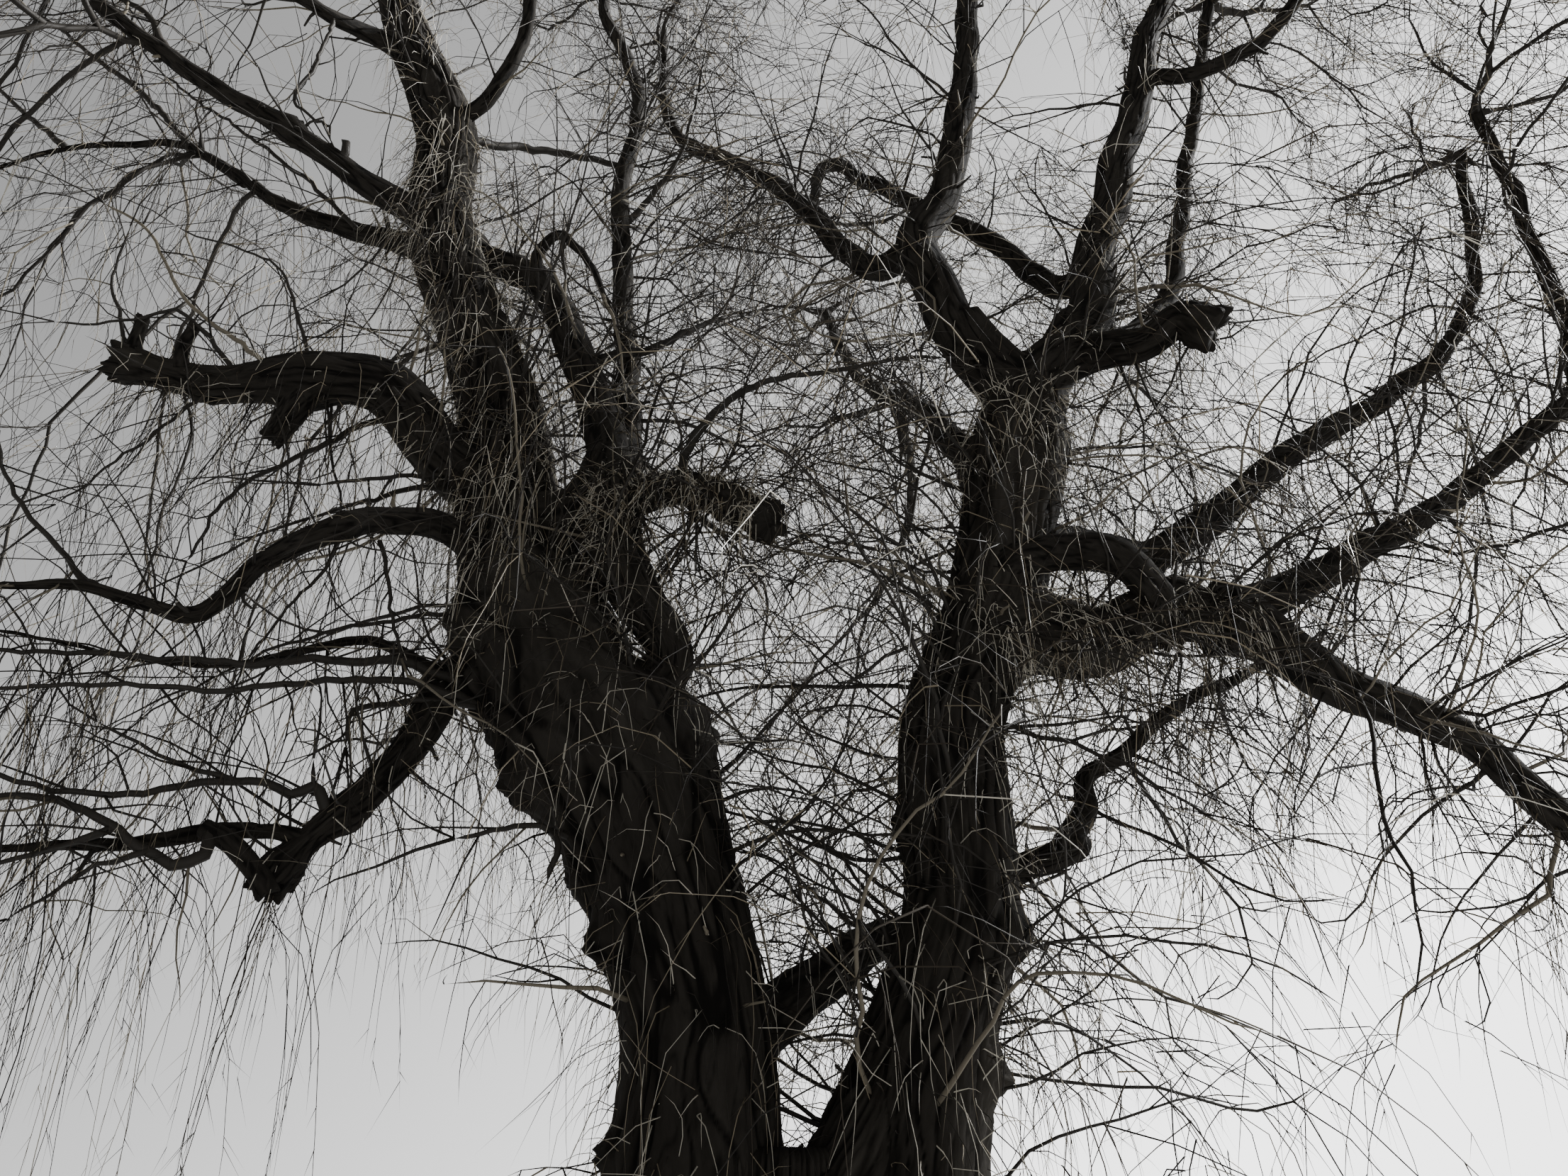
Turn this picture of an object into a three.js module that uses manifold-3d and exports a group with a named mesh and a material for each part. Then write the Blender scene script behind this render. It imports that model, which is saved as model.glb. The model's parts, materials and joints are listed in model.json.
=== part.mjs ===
// A mature weeping willow, bare in winter: a stout trunk that forks low into two leaders, their
// twisted, cut-back and drooping boughs, and the masses of fine twigs that make the dome and the
// hanging curtains of the crown. Millimetres, +Z up, +X to the right and +Y away from the front.
// The origin is the middle of the flat cut under the trunk, at ground level.

import * as THREE from "three";
import { mergeVertices } from "three/addons/utils/BufferGeometryUtils.js";
import Module from "manifold-3d";

const wasm = await Module();
wasm.setup();

// Trunk
const FORK_HEIGHT = 1960;
const TRUNK_HALF_WIDTH = 690;
const TRUNK_HALF_DEPTH = 590;
const ROOT_FLARE = 0.42;
const ROOT_FLARE_HEIGHT = 420;
const BUTTRESSES = 5;
const BUTTRESS_DEPTH = 0.1;
const BUTTRESS_BEARING = 0.7;
const FORK_SPREAD = 0.06;
const FORK_SPREAD_POWER = 4;
const TRUNK_SIDES = 18;
const TRUNK_RINGS = 5;
const RINGS_CROWD_AT_FOOT = 1.5;

// Limbs
const SEAT_GAP = 0.35;
const THICK_LIMB = 100;
const THICK_LIMB_SIDES = 7;
const THIN_LIMB_SIDES = 6;
const LONGEST_STRAIGHT = 2200;
const SHORTEST_LAST_PART = 0.2;
const ROUTE_SAMPLES_BETWEEN_POINTS = 40;
const COLLAR_SWELL = 0.4;
const COLLAR_LENGTH = 1.3;
const FOOT_BELOW_FIRST_POINT = 0.5;
const BURIED_SHARE = 0.8;
const LIMB_SINKS_INTO_MASS = 0.12;

// Twig masses
const MASS_GAP = 0.6;
const MASS_DETAIL = 2;
const MASS_UNEVENNESS = 0.11;
const MERGE_DISTANCE = 1e-3;
const CURTAIN_SIDES = 10;
const CURTAIN_LEVELS = 6;
const CURTAIN_HALF_WIDTH = 2040;
const CURTAIN_HALF_DEPTH = 780;
const CURTAIN_LEANS_IN = 2300;
const CURTAIN_FOOT_NARROWS = 0.12;
const CURTAIN_SHOULDER_THICKENS = 0.45;
const CURTAIN_ENDS_BLUNT = 0.72;

// Colours of the dry bark and of the twigs
const BARK = { color: 0x3a342e, roughness: 0.95, metalness: 0 };
const BOUGH_BARK = { color: 0x453e36, roughness: 0.92, metalness: 0 };
const TWIGS = { color: 0x6b5f4d, roughness: 0.8, metalness: 0 };

// The stems and boughs, each after the one that carries it. A route starts on its carrier's heart
// line beside the route's first point. Girth is the radius at the foot and at the tip, and a knot
// is [how far along, how much thicker, how long] as shares of the limb. A limb that grows into a
// mass heads for its heart, at the level where it enters, and ends just inside it.
const STEMS = [
  {
    name: "left_leader", foot: [-350, 0, 1740], girth: [350, 115], sides: 10,
    knots: [[0.215, 0.52, 0.08], [0.73, 0.15, 0.09]], into: "crown_top_left",
    route: [[-390, 0, 2450], [-640, 0, 3250], [-930, 30, 3800], [-1190, 50, 4250], [-1500, 80, 4800],
      [-1700, 150, 5850], [-1960, 200, 6580], [-2450, 280, 7900], [-2580, 300, 8950], [-3250, 400, 10650]],
  },
  {
    name: "right_leader", foot: [430, 0, 1740], girth: [262, 250], sides: 10,
    knots: [[0.12, 0.1, 0.1], [1, 0.2, 0.12]],
    route: [[620, 0, 2300], [830, 0, 2950], [880, 0, 3900], [1130, 0, 4620], [1270, 0, 5200],
      [1480, 0, 6100]],
  },
];

const BOUGHS = [
  {
    name: "twin_stem", on: "left_leader", girth: [150, 148],
    route: [[-600, -120, 4080], [-790, -190, 4600], [-930, -150, 4950], [-985, -50, 5380]],
  },
  {
    name: "loop_bough", on: "twin_stem", girth: [118, 95],
    route: [[-1090, 0, 5850], [-1340, 100, 6490], [-1650, 300, 7260], [-1900, 450, 7600], [-2420, 620, 7960]],
  },
  {
    name: "hook_bough", on: "loop_bough", girth: [38, 18],
    route: [[-1690, 170, 7440], [-1550, 80, 7540], [-1410, 0, 7380], [-1270, -80, 7110], [-1140, -140, 6780]],
  },
  {
    name: "side_bough", on: "loop_bough", girth: [34, 16],
    route: [[-1130, 130, 6480], [-1040, 200, 6600], [-930, 300, 6690], [-760, 400, 6890], [-480, 600, 7270]],
  },
  {
    name: "long_left_bough", on: "loop_bough", girth: [90, 32], into: "curtain_left", entersAt: 0.3,
    route: [[-2700, 650, 8020], [-3740, 700, 8450], [-4750, 700, 9180], [-5330, 600, 9000]],
  },
  {
    name: "upper_left_bough", on: "left_leader", girth: [84, 34], into: "crown_left",
    route: [[-2720, 60, 7860], [-3170, -300, 7980], [-4160, -600, 8510], [-4760, -720, 9000]],
  },
  {
    name: "top_left_bough", on: "left_leader", girth: [62, 30], into: "crown_left",
    route: [[-3200, 150, 9800], [-3480, -150, 9680], [-4400, -900, 9750]],
  },
  {
    name: "inner_left_bough", on: "left_leader", girth: [56, 34], into: "crown_front_left",
    route: [[-2220, 140, 9080], [-1960, -60, 9850], [-2000, -1400, 11000]],
  },
  {
    name: "cut_stub_left", on: "left_leader", girth: [175, 74], knots: [[0.45, 0.2, 0.08], [1, 0.2, 0.05]],
    route: [[-1920, -60, 5420], [-2280, -280, 5880], [-2560, -360, 5890], [-3200, -450, 5800],
      [-3740, -500, 5900]],
  },
  {
    name: "arched_bough", on: "left_leader", girth: [92, 15],
    route: [[-1900, -330, 4930], [-2260, -600, 4740], [-2480, -760, 4450], [-2640, -900, 4060],
      [-3050, -1000, 4130], [-3440, -1100, 4090]],
  },
  {
    name: "low_bough", on: "left_leader", girth: [125, 52], knots: [[1, 0.25, 0.06]],
    route: [[-1680, -150, 4080], [-1730, -330, 3760], [-1890, -550, 3300], [-2060, -690, 3050],
      [-2140, -750, 2860]],
  },
  {
    name: "low_bough_fork", on: "low_bough", girth: [46, 14],
    route: [[-2290, -790, 3090], [-2550, -900, 3010], [-3100, -1000, 2950]],
  },
  {
    name: "shaggy_stub", on: "twin_stem", girth: [100, 62], knots: [[1, 0.25, 0.08]],
    route: [[-840, -180, 5150], [-560, -350, 5130], [-80, -550, 4800]],
  },
  {
    name: "back_stem", on: "twin_stem", girth: [92, 50], into: "crown_top_middle",
    route: [[-980, 350, 5750], [-1090, 700, 6830], [-1330, 1000, 8890], [-1310, 1200, 10540],
      [-1770, 1350, 12090]],
  },
  {
    name: "inner_right_stem", on: "right_leader", girth: [150, 52], knots: [[0.2, 0.25, 0.05]],
    into: "crown_top_right",
    route: [[1190, 50, 6500], [1060, 50, 6900], [930, 100, 7500], [1120, 150, 7950], [1390, 250, 9190],
      [1500, 300, 10530]],
  },
  {
    name: "long_back_bough", on: "inner_right_stem", girth: [92, 48], into: "crown_top_middle",
    route: [[690, 560, 7700], [200, 1070, 8900], [-350, 1600, 10050], [-1070, 2000, 11080]],
  },
  {
    name: "right_stem", on: "right_leader", girth: [165, 56], into: "crown_far_right",
    route: [[1900, 40, 6650], [2100, 100, 7300], [2380, 150, 8200], [2650, 200, 9040], [3070, 250, 10380]],
  },
  {
    name: "right_upper_bough", on: "right_stem", girth: [58, 34], into: "crown_front_right",
    route: [[3200, 40, 9270], [3850, -200, 9700], [4100, -1500, 10600]],
  },
  {
    name: "hooked_stub", on: "right_leader", girth: [135, 80], knots: [[1, 0.2, 0.1]],
    route: [[1900, -110, 6310], [2120, -300, 6200], [2300, -450, 6270], [2480, -500, 6140]],
  },
  {
    name: "right_bough", on: "right_leader", girth: [185, 122], knots: [[0.5, 0.15, 0.12]],
    route: [[1450, 0, 4440], [1700, 0, 4420], [2080, 50, 4600], [2550, 100, 4540]],
  },
  {
    name: "right_bough_end", on: "right_bough", girth: [116, 52], into: "curtain_right", entersAt: -0.5,
    route: [[2960, 160, 4220], [3700, 300, 3950], [4250, 450, 3500]],
  },
  {
    name: "right_rising_bough", on: "right_bough", girth: [92, 45], into: "crown_right",
    route: [[2700, 140, 4720], [3980, 450, 5510], [5040, 700, 6320], [5580, 800, 6800]],
  },
  {
    name: "right_far_bough", on: "right_leader", girth: [128, 44], into: "crown_right",
    route: [[1580, 300, 5180], [2190, 600, 5290], [2720, 800, 5640], [3560, 1100, 6460], [4650, 1400, 7220],
      [5650, 1500, 8300]],
  },
  {
    name: "crossing_bough", on: "left_leader", girth: [128, 68],
    route: [[-40, 230, 2500], [390, 460, 2880], [670, 520, 3000], [1090, 500, 3250], [1540, 450, 3430]],
  },
  {
    name: "crooked_bough", on: "crossing_bough", girth: [56, 26],
    route: [[1620, 450, 3600], [1640, 460, 3800], [1900, 500, 3960], [2260, 600, 4260], [3000, 800, 4680]],
  },
  {
    name: "rear_bough", on: "right_stem", girth: [80, 44], into: "crown_back",
    route: [[1990, 450, 7420], [1600, 800, 8250], [970, 1200, 9200], [400, 1700, 10200]],
  },
  {
    name: "rear_stem", on: "right_stem", girth: [82, 50], into: "crown_far_right",
    route: [[2250, 500, 7000], [2900, 950, 7780], [3150, 1100, 8550], [3500, 1200, 9750]],
  },
  {
    name: "front_left_bough", on: "left_leader", girth: [88, 50], into: "crown_front_left",
    route: [[-3500, -100, 11500], [-3300, -1500, 12200]],
  },
  {
    name: "front_bough", on: "inner_right_stem", girth: [60, 44], into: "crown_front",
    route: [[1480, -200, 11400], [1200, -1500, 12300]],
  },
  {
    name: "back_left_bough", on: "left_leader", girth: [98, 44], into: "crown_back_left",
    route: [[-2150, 700, 7100], [-2400, 1900, 8300], [-3000, 3000, 9400]],
  },
  {
    name: "back_bough", on: "right_leader", girth: [118, 44], into: "crown_back",
    route: [[1330, 500, 5700], [1150, 1700, 7300], [700, 3200, 9000]],
  },
  {
    name: "back_right_bough", on: "right_leader", girth: [110, 44], into: "crown_back_right",
    route: [[1700, 420, 6300], [2300, 1800, 7700], [3100, 3100, 9200]],
  },
  {
    name: "back_curtain_bough", on: "back_bough", girth: [56, 30], into: "curtain_back", entersAt: 0,
    route: [[1050, 2600, 7900], [1300, 4200, 8200]],
  },
];

// The twig masses of the dome: middle, half sizes along X, Y and Z, and a number that shapes it.
const CROWN = [
  { name: "crown_top_left", middle: [-3800, 600, 13700], half: [1850, 1750, 1650], seed: 1 },
  { name: "crown_top_middle", middle: [-1400, 2200, 14050], half: [1700, 1650, 1650], seed: 2 },
  { name: "crown_top_right", middle: [1500, 300, 14250], half: [1900, 1700, 1750], seed: 3 },
  { name: "crown_far_right", middle: [4300, 1000, 12900], half: [1700, 1700, 1600], seed: 4 },
  { name: "crown_front_left", middle: [-3000, -2900, 12600], half: [1950, 1700, 1450], seed: 5 },
  { name: "crown_front", middle: [600, -3100, 12900], half: [1950, 1650, 1450], seed: 6 },
  { name: "crown_front_right", middle: [4000, -2500, 11900], half: [1800, 1750, 1500], seed: 7 },
  { name: "crown_right", middle: [5700, 700, 10500], half: [1450, 1900, 1450], seed: 8 },
  { name: "crown_back_right", middle: [3700, 3900, 11200], half: [1800, 1650, 1550], seed: 9 },
  { name: "crown_back", middle: [300, 4600, 11900], half: [1850, 1550, 1500], seed: 10 },
  { name: "crown_back_left", middle: [-3300, 4100, 11400], half: [1850, 1650, 1550], seed: 11 },
  { name: "crown_left", middle: [-5700, -800, 10900], half: [1450, 1950, 1400], seed: 12 },
];

// The hanging curtains round the space under the crown: bearing from +X towards +Y in degrees,
// distance out from the origin, and the heights of top and foot.
const CURTAINS = [
  { name: "curtain_right", bearing: 8, out: 6700, top: 9900, foot: 2600, seed: 21 },
  { name: "curtain_back_right", bearing: 44, out: 6500, top: 10700, foot: 4500, seed: 22 },
  { name: "curtain_back", bearing: 81, out: 6700, top: 11200, foot: 3400, seed: 23 },
  { name: "curtain_back_left", bearing: 118, out: 6650, top: 11100, foot: 3500, seed: 24 },
  { name: "curtain_far_left", bearing: 153, out: 6600, top: 10600, foot: 3000, seed: 25 },
  { name: "curtain_left", bearing: 187, out: 6650, top: 10300, foot: 2500, seed: 26 },
  { name: "curtain_front_left", bearing: 222, out: 6850, top: 11200, foot: 2100, seed: 27 },
  { name: "curtain_front", bearing: 257, out: 6900, top: 12000, foot: 2300, seed: 28 },
  { name: "curtain_front_right", bearing: 294, out: 6900, top: 11600, foot: 1800, seed: 29 },
  { name: "curtain_far_right", bearing: 331, out: 6700, top: 10700, foot: 2300, seed: 30 },
];

const DEGREE = Math.PI / 180;
const UP = new THREE.Vector3(0, 0, 1);

// Solids

function solidOf(geometry) {
  geometry.deleteAttribute("normal");
  geometry.deleteAttribute("uv");
  const merged = mergeVertices(geometry, MERGE_DISTANCE);
  const mesh = new wasm.Mesh({
    numProp: 3,
    vertProperties: new Float32Array(merged.attributes.position.array),
    triVerts: new Uint32Array(merged.index.array),
  });
  return new wasm.Manifold(mesh);
}

function largestBody(solid) {
  const bodies = solid.decompose();
  return bodies.reduce((largest, body) => (body.volume() > largest.volume() ? body : largest));
}

function bounds(geometry) {
  geometry.computeBoundingBox();
  return geometry.boundingBox;
}

// A closed cylinder is bent onto a limb's heart line, with the radius of each of its rings.
function bentLimb(limb, grow) {
  const last = limb.rings.length - 1;
  const geometry = new THREE.CylinderGeometry(1, 1, 1, limb.sides, last);
  const vertices = geometry.attributes.position;
  for (let i = 0; i < vertices.count; i += 1) {
    const index = Math.round((vertices.getY(i) + 0.5) * last);
    const ring = limb.rings[index];
    const place = ring.place.clone();
    place.addScaledVector(ring.normal, vertices.getX(i) * (ring.radius + grow));
    place.addScaledVector(ring.binormal, -vertices.getZ(i) * (ring.radius + grow));
    if (index === last) place.addScaledVector(ring.tangent, grow);
    if (index === 0) place.addScaledVector(ring.tangent, -grow);
    vertices.setXYZ(i, place.x, place.y, place.z);
  }
  return geometry;
}

// Trunk: oval, with a root flare in buttresses at its foot, and wider again below the fork
function trunkGeometry(grow) {
  const geometry = new THREE.CylinderGeometry(1, 1, 1, TRUNK_SIDES, TRUNK_RINGS);
  const vertices = geometry.attributes.position;
  for (let i = 0; i < vertices.count; i += 1) {
    const share = vertices.getY(i) + 0.5;
    const height = FORK_HEIGHT * share ** RINGS_CROWD_AT_FOOT;
    const bearing = Math.atan2(vertices.getZ(i), vertices.getX(i));
    const flare = Math.exp(-height / ROOT_FLARE_HEIGHT);
    const lobe = Math.cos(BUTTRESSES * bearing + BUTTRESS_BEARING) * BUTTRESS_DEPTH;
    const spread = 1 + flare * (ROOT_FLARE + lobe) + FORK_SPREAD * share ** FORK_SPREAD_POWER;
    const x = vertices.getX(i) * (TRUNK_HALF_WIDTH * spread + grow);
    const y = -vertices.getZ(i) * (TRUNK_HALF_DEPTH * spread + grow);
    vertices.setXYZ(i, x, y, share === 1 ? height + grow : height);
  }
  return geometry;
}

// Twig masses: an uneven ball, stretched to its half sizes and turned to its bearing. Three waves
// cross it, each with its way over the ball, and a mass's seed shifts them.
const WAVES = [
  { way: new THREE.Vector3(2.7, 0, 1.9), shift: 1.7 },
  { way: new THREE.Vector3(-1.4, 3.3, 0), shift: 2.9 },
  { way: new THREE.Vector3(0, 2.2, 4.6), shift: 4.3 },
];

function swell(direction, seed) {
  return WAVES.reduce(
    (reach, { way, shift }) => reach + MASS_UNEVENNESS * Math.sin(way.dot(direction) + seed * shift),
    1,
  );
}

// A curtain leans in over the space that it hangs round, thick at its shoulder and narrow at its
// foot, and both its ends are blunt. The level runs from about -1 at the foot to 1 at the top.
function drape(mass, level) {
  const rise = (level + 1) / 2;
  return {
    wide: mass.half[0] * (1 - mass.hangs * CURTAIN_FOOT_NARROWS * (1 - rise)),
    deep: mass.half[1] * (1 + mass.hangs * CURTAIN_SHOULDER_THICKENS * level),
    inward: mass.hangs * CURTAIN_LEANS_IN * Math.max(0, rise) ** 2,
  };
}

function bent(level, power) {
  return Math.sign(level) * Math.abs(level) ** power;
}

// A ball of even facets for the dome, and one of meridians from top to foot for the curtains
function ballOf(mass) {
  if (!mass.hangs) return new THREE.IcosahedronGeometry(1, MASS_DETAIL);
  return new THREE.SphereGeometry(1, CURTAIN_SIDES, CURTAIN_LEVELS).rotateX(Math.PI / 2);
}

function massGeometry(mass, grow) {
  const geometry = ballOf(mass);
  const vertices = geometry.attributes.position;
  const place = new THREE.Vector3();
  for (let i = 0; i < vertices.count; i += 1) {
    place.fromBufferAttribute(vertices, i).normalize();
    const way = place.clone();
    place.multiplyScalar(swell(way, mass.seed));
    const level = bent(place.z, mass.blunt);
    const { wide, deep, inward } = drape(mass, level);
    place.set(place.x * wide, place.y * deep + inward, level * mass.half[2]).addScaledVector(way, grow);
    place.applyAxisAngle(UP, mass.turn).add(mass.centre);
    vertices.setXYZ(i, place.x, place.y, place.z);
  }
  return geometry;
}

// Whether a point lies inside a mass, or inside the same mass shrunk to a share of its size
function isInside(point, mass, share) {
  const local = point.clone().sub(mass.centre).applyAxisAngle(UP, -mass.turn);
  const level = local.z / mass.half[2];
  const { wide, deep, inward } = drape(mass, level);
  local.set(local.x / wide, (local.y - inward) / deep, bent(level, 1 / mass.blunt));
  return local.length() < share * swell(local.clone().normalize(), mass.seed);
}

const masses = new Map();
for (const { name, middle, half, seed } of CROWN) {
  const centre = new THREE.Vector3(...middle);
  masses.set(name, { name, centre, half, seed, turn: 0, hangs: 0, blunt: 1 });
}
for (const { name, bearing, out, top, foot, seed } of CURTAINS) {
  const turn = bearing * DEGREE + Math.PI / 2;
  const centre = new THREE.Vector3(out, 0, (top + foot) / 2).applyAxisAngle(UP, bearing * DEGREE);
  const half = [CURTAIN_HALF_WIDTH, CURTAIN_HALF_DEPTH, (top - foot) / 2];
  masses.set(name, { name, centre, half, seed, turn, hangs: 1, blunt: CURTAIN_ENDS_BLUNT });
}

// Limbs

function placeOnCarrier(carrier, first) {
  const nearest = new THREE.Vector3();
  const candidate = new THREE.Vector3();
  let least = Infinity;
  for (let i = 1; i < carrier.rings.length; i += 1) {
    const stretch = new THREE.Line3(carrier.rings[i - 1].place, carrier.rings[i].place);
    stretch.closestPointToPoint(first, true, candidate);
    if (candidate.distanceTo(first) < least) {
      least = candidate.distanceTo(first);
      const { tangent, radius } = carrier.rings[i];
      nearest.copy(candidate).addScaledVector(tangent, -radius * FOOT_BELOW_FIRST_POINT);
    }
  }
  return nearest;
}

// The middle of a mass at a level, which the limbs that grow into it head for
function heartOf(mass, level) {
  const heart = new THREE.Vector3(0, drape(mass, level).inward, level * mass.half[2]);
  return heart.applyAxisAngle(UP, mass.turn).add(mass.centre);
}

// How far along a route, counted in points, it has sunk into its mass
function endInMass(curve, points, mass) {
  const step = 1 / ROUTE_SAMPLES_BETWEEN_POINTS;
  for (let t = 0; t <= points - 1; t += step) {
    if (isInside(curve.getPoint(t / (points - 1)), mass, 1 - LIMB_SINKS_INTO_MASS)) return t;
  }
  throw new Error(`a limb never reaches ${mass.name}`);
}

// Rings stand at each point of the route, and between points that lie far apart.
function ringPlaces(points, mass) {
  const curve = new THREE.CatmullRomCurve3(points, false, "centripetal");
  const end = mass ? endInMass(curve, points.length, mass) : points.length - 1;
  const places = [];
  for (let i = 0; i < end; i += 1) {
    const parts = Math.ceil(points[i].distanceTo(points[i + 1]) / LONGEST_STRAIGHT);
    for (let part = 0; part < parts && i + part / parts < end - SHORTEST_LAST_PART; part += 1) {
      places.push(curve.getPoint((i + part / parts) / (points.length - 1)));
    }
  }
  places.push(curve.getPoint(end / (points.length - 1)));
  return places;
}

// Each ring is turned from the one before it by the smallest turn, so that the limb isn't twisted.
function framedRings(places) {
  const last = places.length - 1;
  const normal = new THREE.Vector3();
  return places.map((place, i) => {
    const tangent = places[Math.min(last, i + 1)].clone().sub(places[Math.max(0, i - 1)]).normalize();
    if (i === 0) normal.set(0, 1, 0).cross(tangent);
    normal.addScaledVector(tangent, -normal.dot(tangent)).normalize();
    return { place, tangent, normal: normal.clone(), binormal: tangent.clone().cross(normal) };
  });
}

const limbs = new Map();

function makeLimb({ name, on, foot, route, girth, knots = [], into, entersAt = 0, sides }) {
  const points = route.map((point) => new THREE.Vector3(...point));
  if (into) points.push(heartOf(masses.get(into), entersAt));
  const carrier = limbs.get(on);
  points.unshift(carrier ? placeOnCarrier(carrier, points[0]) : new THREE.Vector3(...foot));
  const rings = framedRings(ringPlaces(points, masses.get(into)));
  let length = 0;
  for (const [i, ring] of rings.entries()) {
    if (i > 0) length += ring.place.distanceTo(rings[i - 1].place);
    ring.distance = length;
  }
  const buried = carrier ? carrier.rings[0].radius * BURIED_SHARE : 0;
  for (const ring of rings) {
    const along = ring.distance / length;
    const clear = Math.max(0, ring.distance - buried);
    const collar = carrier ? COLLAR_SWELL * Math.exp(-clear / (COLLAR_LENGTH * girth[0])) : 0;
    const knot = knots.reduce(
      (sum, [at, rise, spread]) => sum + rise * Math.exp(-(((along - at) / spread) ** 2)),
      0,
    );
    ring.radius = THREE.MathUtils.lerp(girth[0], girth[1], along) * (1 + collar + knot);
  }
  const bySize = girth[0] < THICK_LIMB ? THIN_LIMB_SIDES : THICK_LIMB_SIDES;
  limbs.set(name, { name, rings, sides: sides ?? bySize });
}

for (const limb of [...STEMS, ...BOUGHS]) makeLimb(limb);

// Assembly: each piece gives way to those before it, with a narrow gap between them

const placed = [];
const tree = new THREE.Group();

function place(name, look, middle, geometryWith, gap) {
  const own = geometryWith(0);
  const box = bounds(own);
  let solid = solidOf(own);
  for (const earlier of placed) {
    if (earlier.box.intersectsBox(box)) solid = solid.subtract(earlier.grown);
  }
  placed.push({ box, grown: solidOf(geometryWith(gap)) });
  const { vertProperties, triVerts } = largestBody(solid).getMesh();
  const geometry = new THREE.BufferGeometry();
  geometry.setAttribute("position", new THREE.BufferAttribute(vertProperties, 3));
  geometry.setIndex(new THREE.BufferAttribute(triVerts, 1));
  geometry.translate(-middle.x, -middle.y, -middle.z);
  const mesh = new THREE.Mesh(geometry, new THREE.MeshStandardMaterial(look));
  mesh.name = name;
  mesh.position.copy(middle);
  tree.add(mesh);
}

place("trunk", BARK, new THREE.Vector3(), trunkGeometry, SEAT_GAP);
for (const limb of limbs.values()) {
  const look = limb.sides > THICK_LIMB_SIDES ? BARK : BOUGH_BARK;
  place(limb.name, look, limb.rings[0].place, (grow) => bentLimb(limb, grow), SEAT_GAP);
}
for (const mass of masses.values()) {
  place(mass.name, TWIGS, mass.centre, (grow) => massGeometry(mass, grow), MASS_GAP);
}

export default tree;
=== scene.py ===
"""Looks of a mature weeping willow, bare in winter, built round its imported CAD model.

Metres, +Z up, +X to the right and +Y away from the front. Each CAD limb gets a skin with the
bark's relief. Each CAD twig mass is replaced by branches that grow into it from the limbs, and by
the thin whips that hang from them. Every random number comes from a seeded source.
"""

import json
import math

import bpy
import numpy as np
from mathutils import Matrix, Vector
from mathutils.bvhtree import BVHTree


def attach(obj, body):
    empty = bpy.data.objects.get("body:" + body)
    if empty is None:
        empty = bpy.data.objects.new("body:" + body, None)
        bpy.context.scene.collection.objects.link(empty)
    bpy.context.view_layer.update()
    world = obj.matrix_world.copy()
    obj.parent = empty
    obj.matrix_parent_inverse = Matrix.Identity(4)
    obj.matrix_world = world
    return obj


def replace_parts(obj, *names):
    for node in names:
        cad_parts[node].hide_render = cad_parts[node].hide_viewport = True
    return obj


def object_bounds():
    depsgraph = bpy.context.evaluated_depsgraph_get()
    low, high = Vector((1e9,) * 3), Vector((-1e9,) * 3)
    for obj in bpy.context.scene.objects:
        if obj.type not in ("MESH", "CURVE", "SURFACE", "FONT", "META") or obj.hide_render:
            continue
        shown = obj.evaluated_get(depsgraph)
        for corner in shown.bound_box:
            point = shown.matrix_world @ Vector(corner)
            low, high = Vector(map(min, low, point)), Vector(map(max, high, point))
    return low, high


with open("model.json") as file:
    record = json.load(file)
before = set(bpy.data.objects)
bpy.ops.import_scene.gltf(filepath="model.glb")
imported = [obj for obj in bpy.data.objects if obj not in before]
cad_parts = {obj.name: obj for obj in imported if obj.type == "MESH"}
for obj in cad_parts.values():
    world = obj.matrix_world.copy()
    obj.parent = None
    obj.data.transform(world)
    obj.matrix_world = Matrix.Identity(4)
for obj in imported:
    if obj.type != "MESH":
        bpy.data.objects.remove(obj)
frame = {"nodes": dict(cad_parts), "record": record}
CAD_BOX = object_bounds()
NODES = frame["nodes"]
SLOTS = {row["node"]: row["material_slot"] for row in frame["record"]["subparts"]}
# The twig masses, and every limb but the trunk in the CAD's order
MASSES = sorted(name for name in NODES if SLOTS[name] == "twigs")
LIMBS = [row["node"] for row in frame["record"]["subparts"] if row["material_slot"] != "twigs"][1:]

DOWN = np.array([0.0, 0.0, -1.0])
UP = -DOWN

# Camera: at eye height under the crown, with a wide lens tilted up
EYE = (0.0, -5.4, 1.6)
TILT = math.radians(30)
LENS = 26.0
SENSOR = 36.0


# Small tools

def unit(vectors):
    length = np.linalg.norm(vectors, axis=-1, keepdims=True)
    return vectors / np.maximum(length, 1e-9)


def gradient_noise(places, seed):
    """Smooth noise, about -1 to 1, at each place of a lattice of unit cells."""
    rng = np.random.default_rng(seed)
    order = rng.permutation(256)
    slopes = unit(rng.normal(size=(256, 3)))
    cell = np.floor(places).astype(int)
    part = places - cell
    fade = part ** 3 * (part * (part * 6 - 15) + 10)
    total = np.zeros(len(places))
    for corner in np.ndindex(2, 2, 2):
        x, y, z = (cell + corner).T
        slope = slopes[order[(order[(order[x & 255] + y) & 255] + z) & 255]]
        weight = np.prod(np.where(corner, fade, 1 - fade), axis=1)
        total += weight * np.sum(slope * (part - corner), axis=1)
    return total * 1.6


def bounded(places):
    """Places, where what would stand out of the object's box is pressed back towards it."""
    low, high = np.array(CAD_BOX)
    return places - 0.85 * np.maximum(places - high + 0.1, 0) + 0.85 * np.maximum(low + 0.1 - places, 0)


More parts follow.
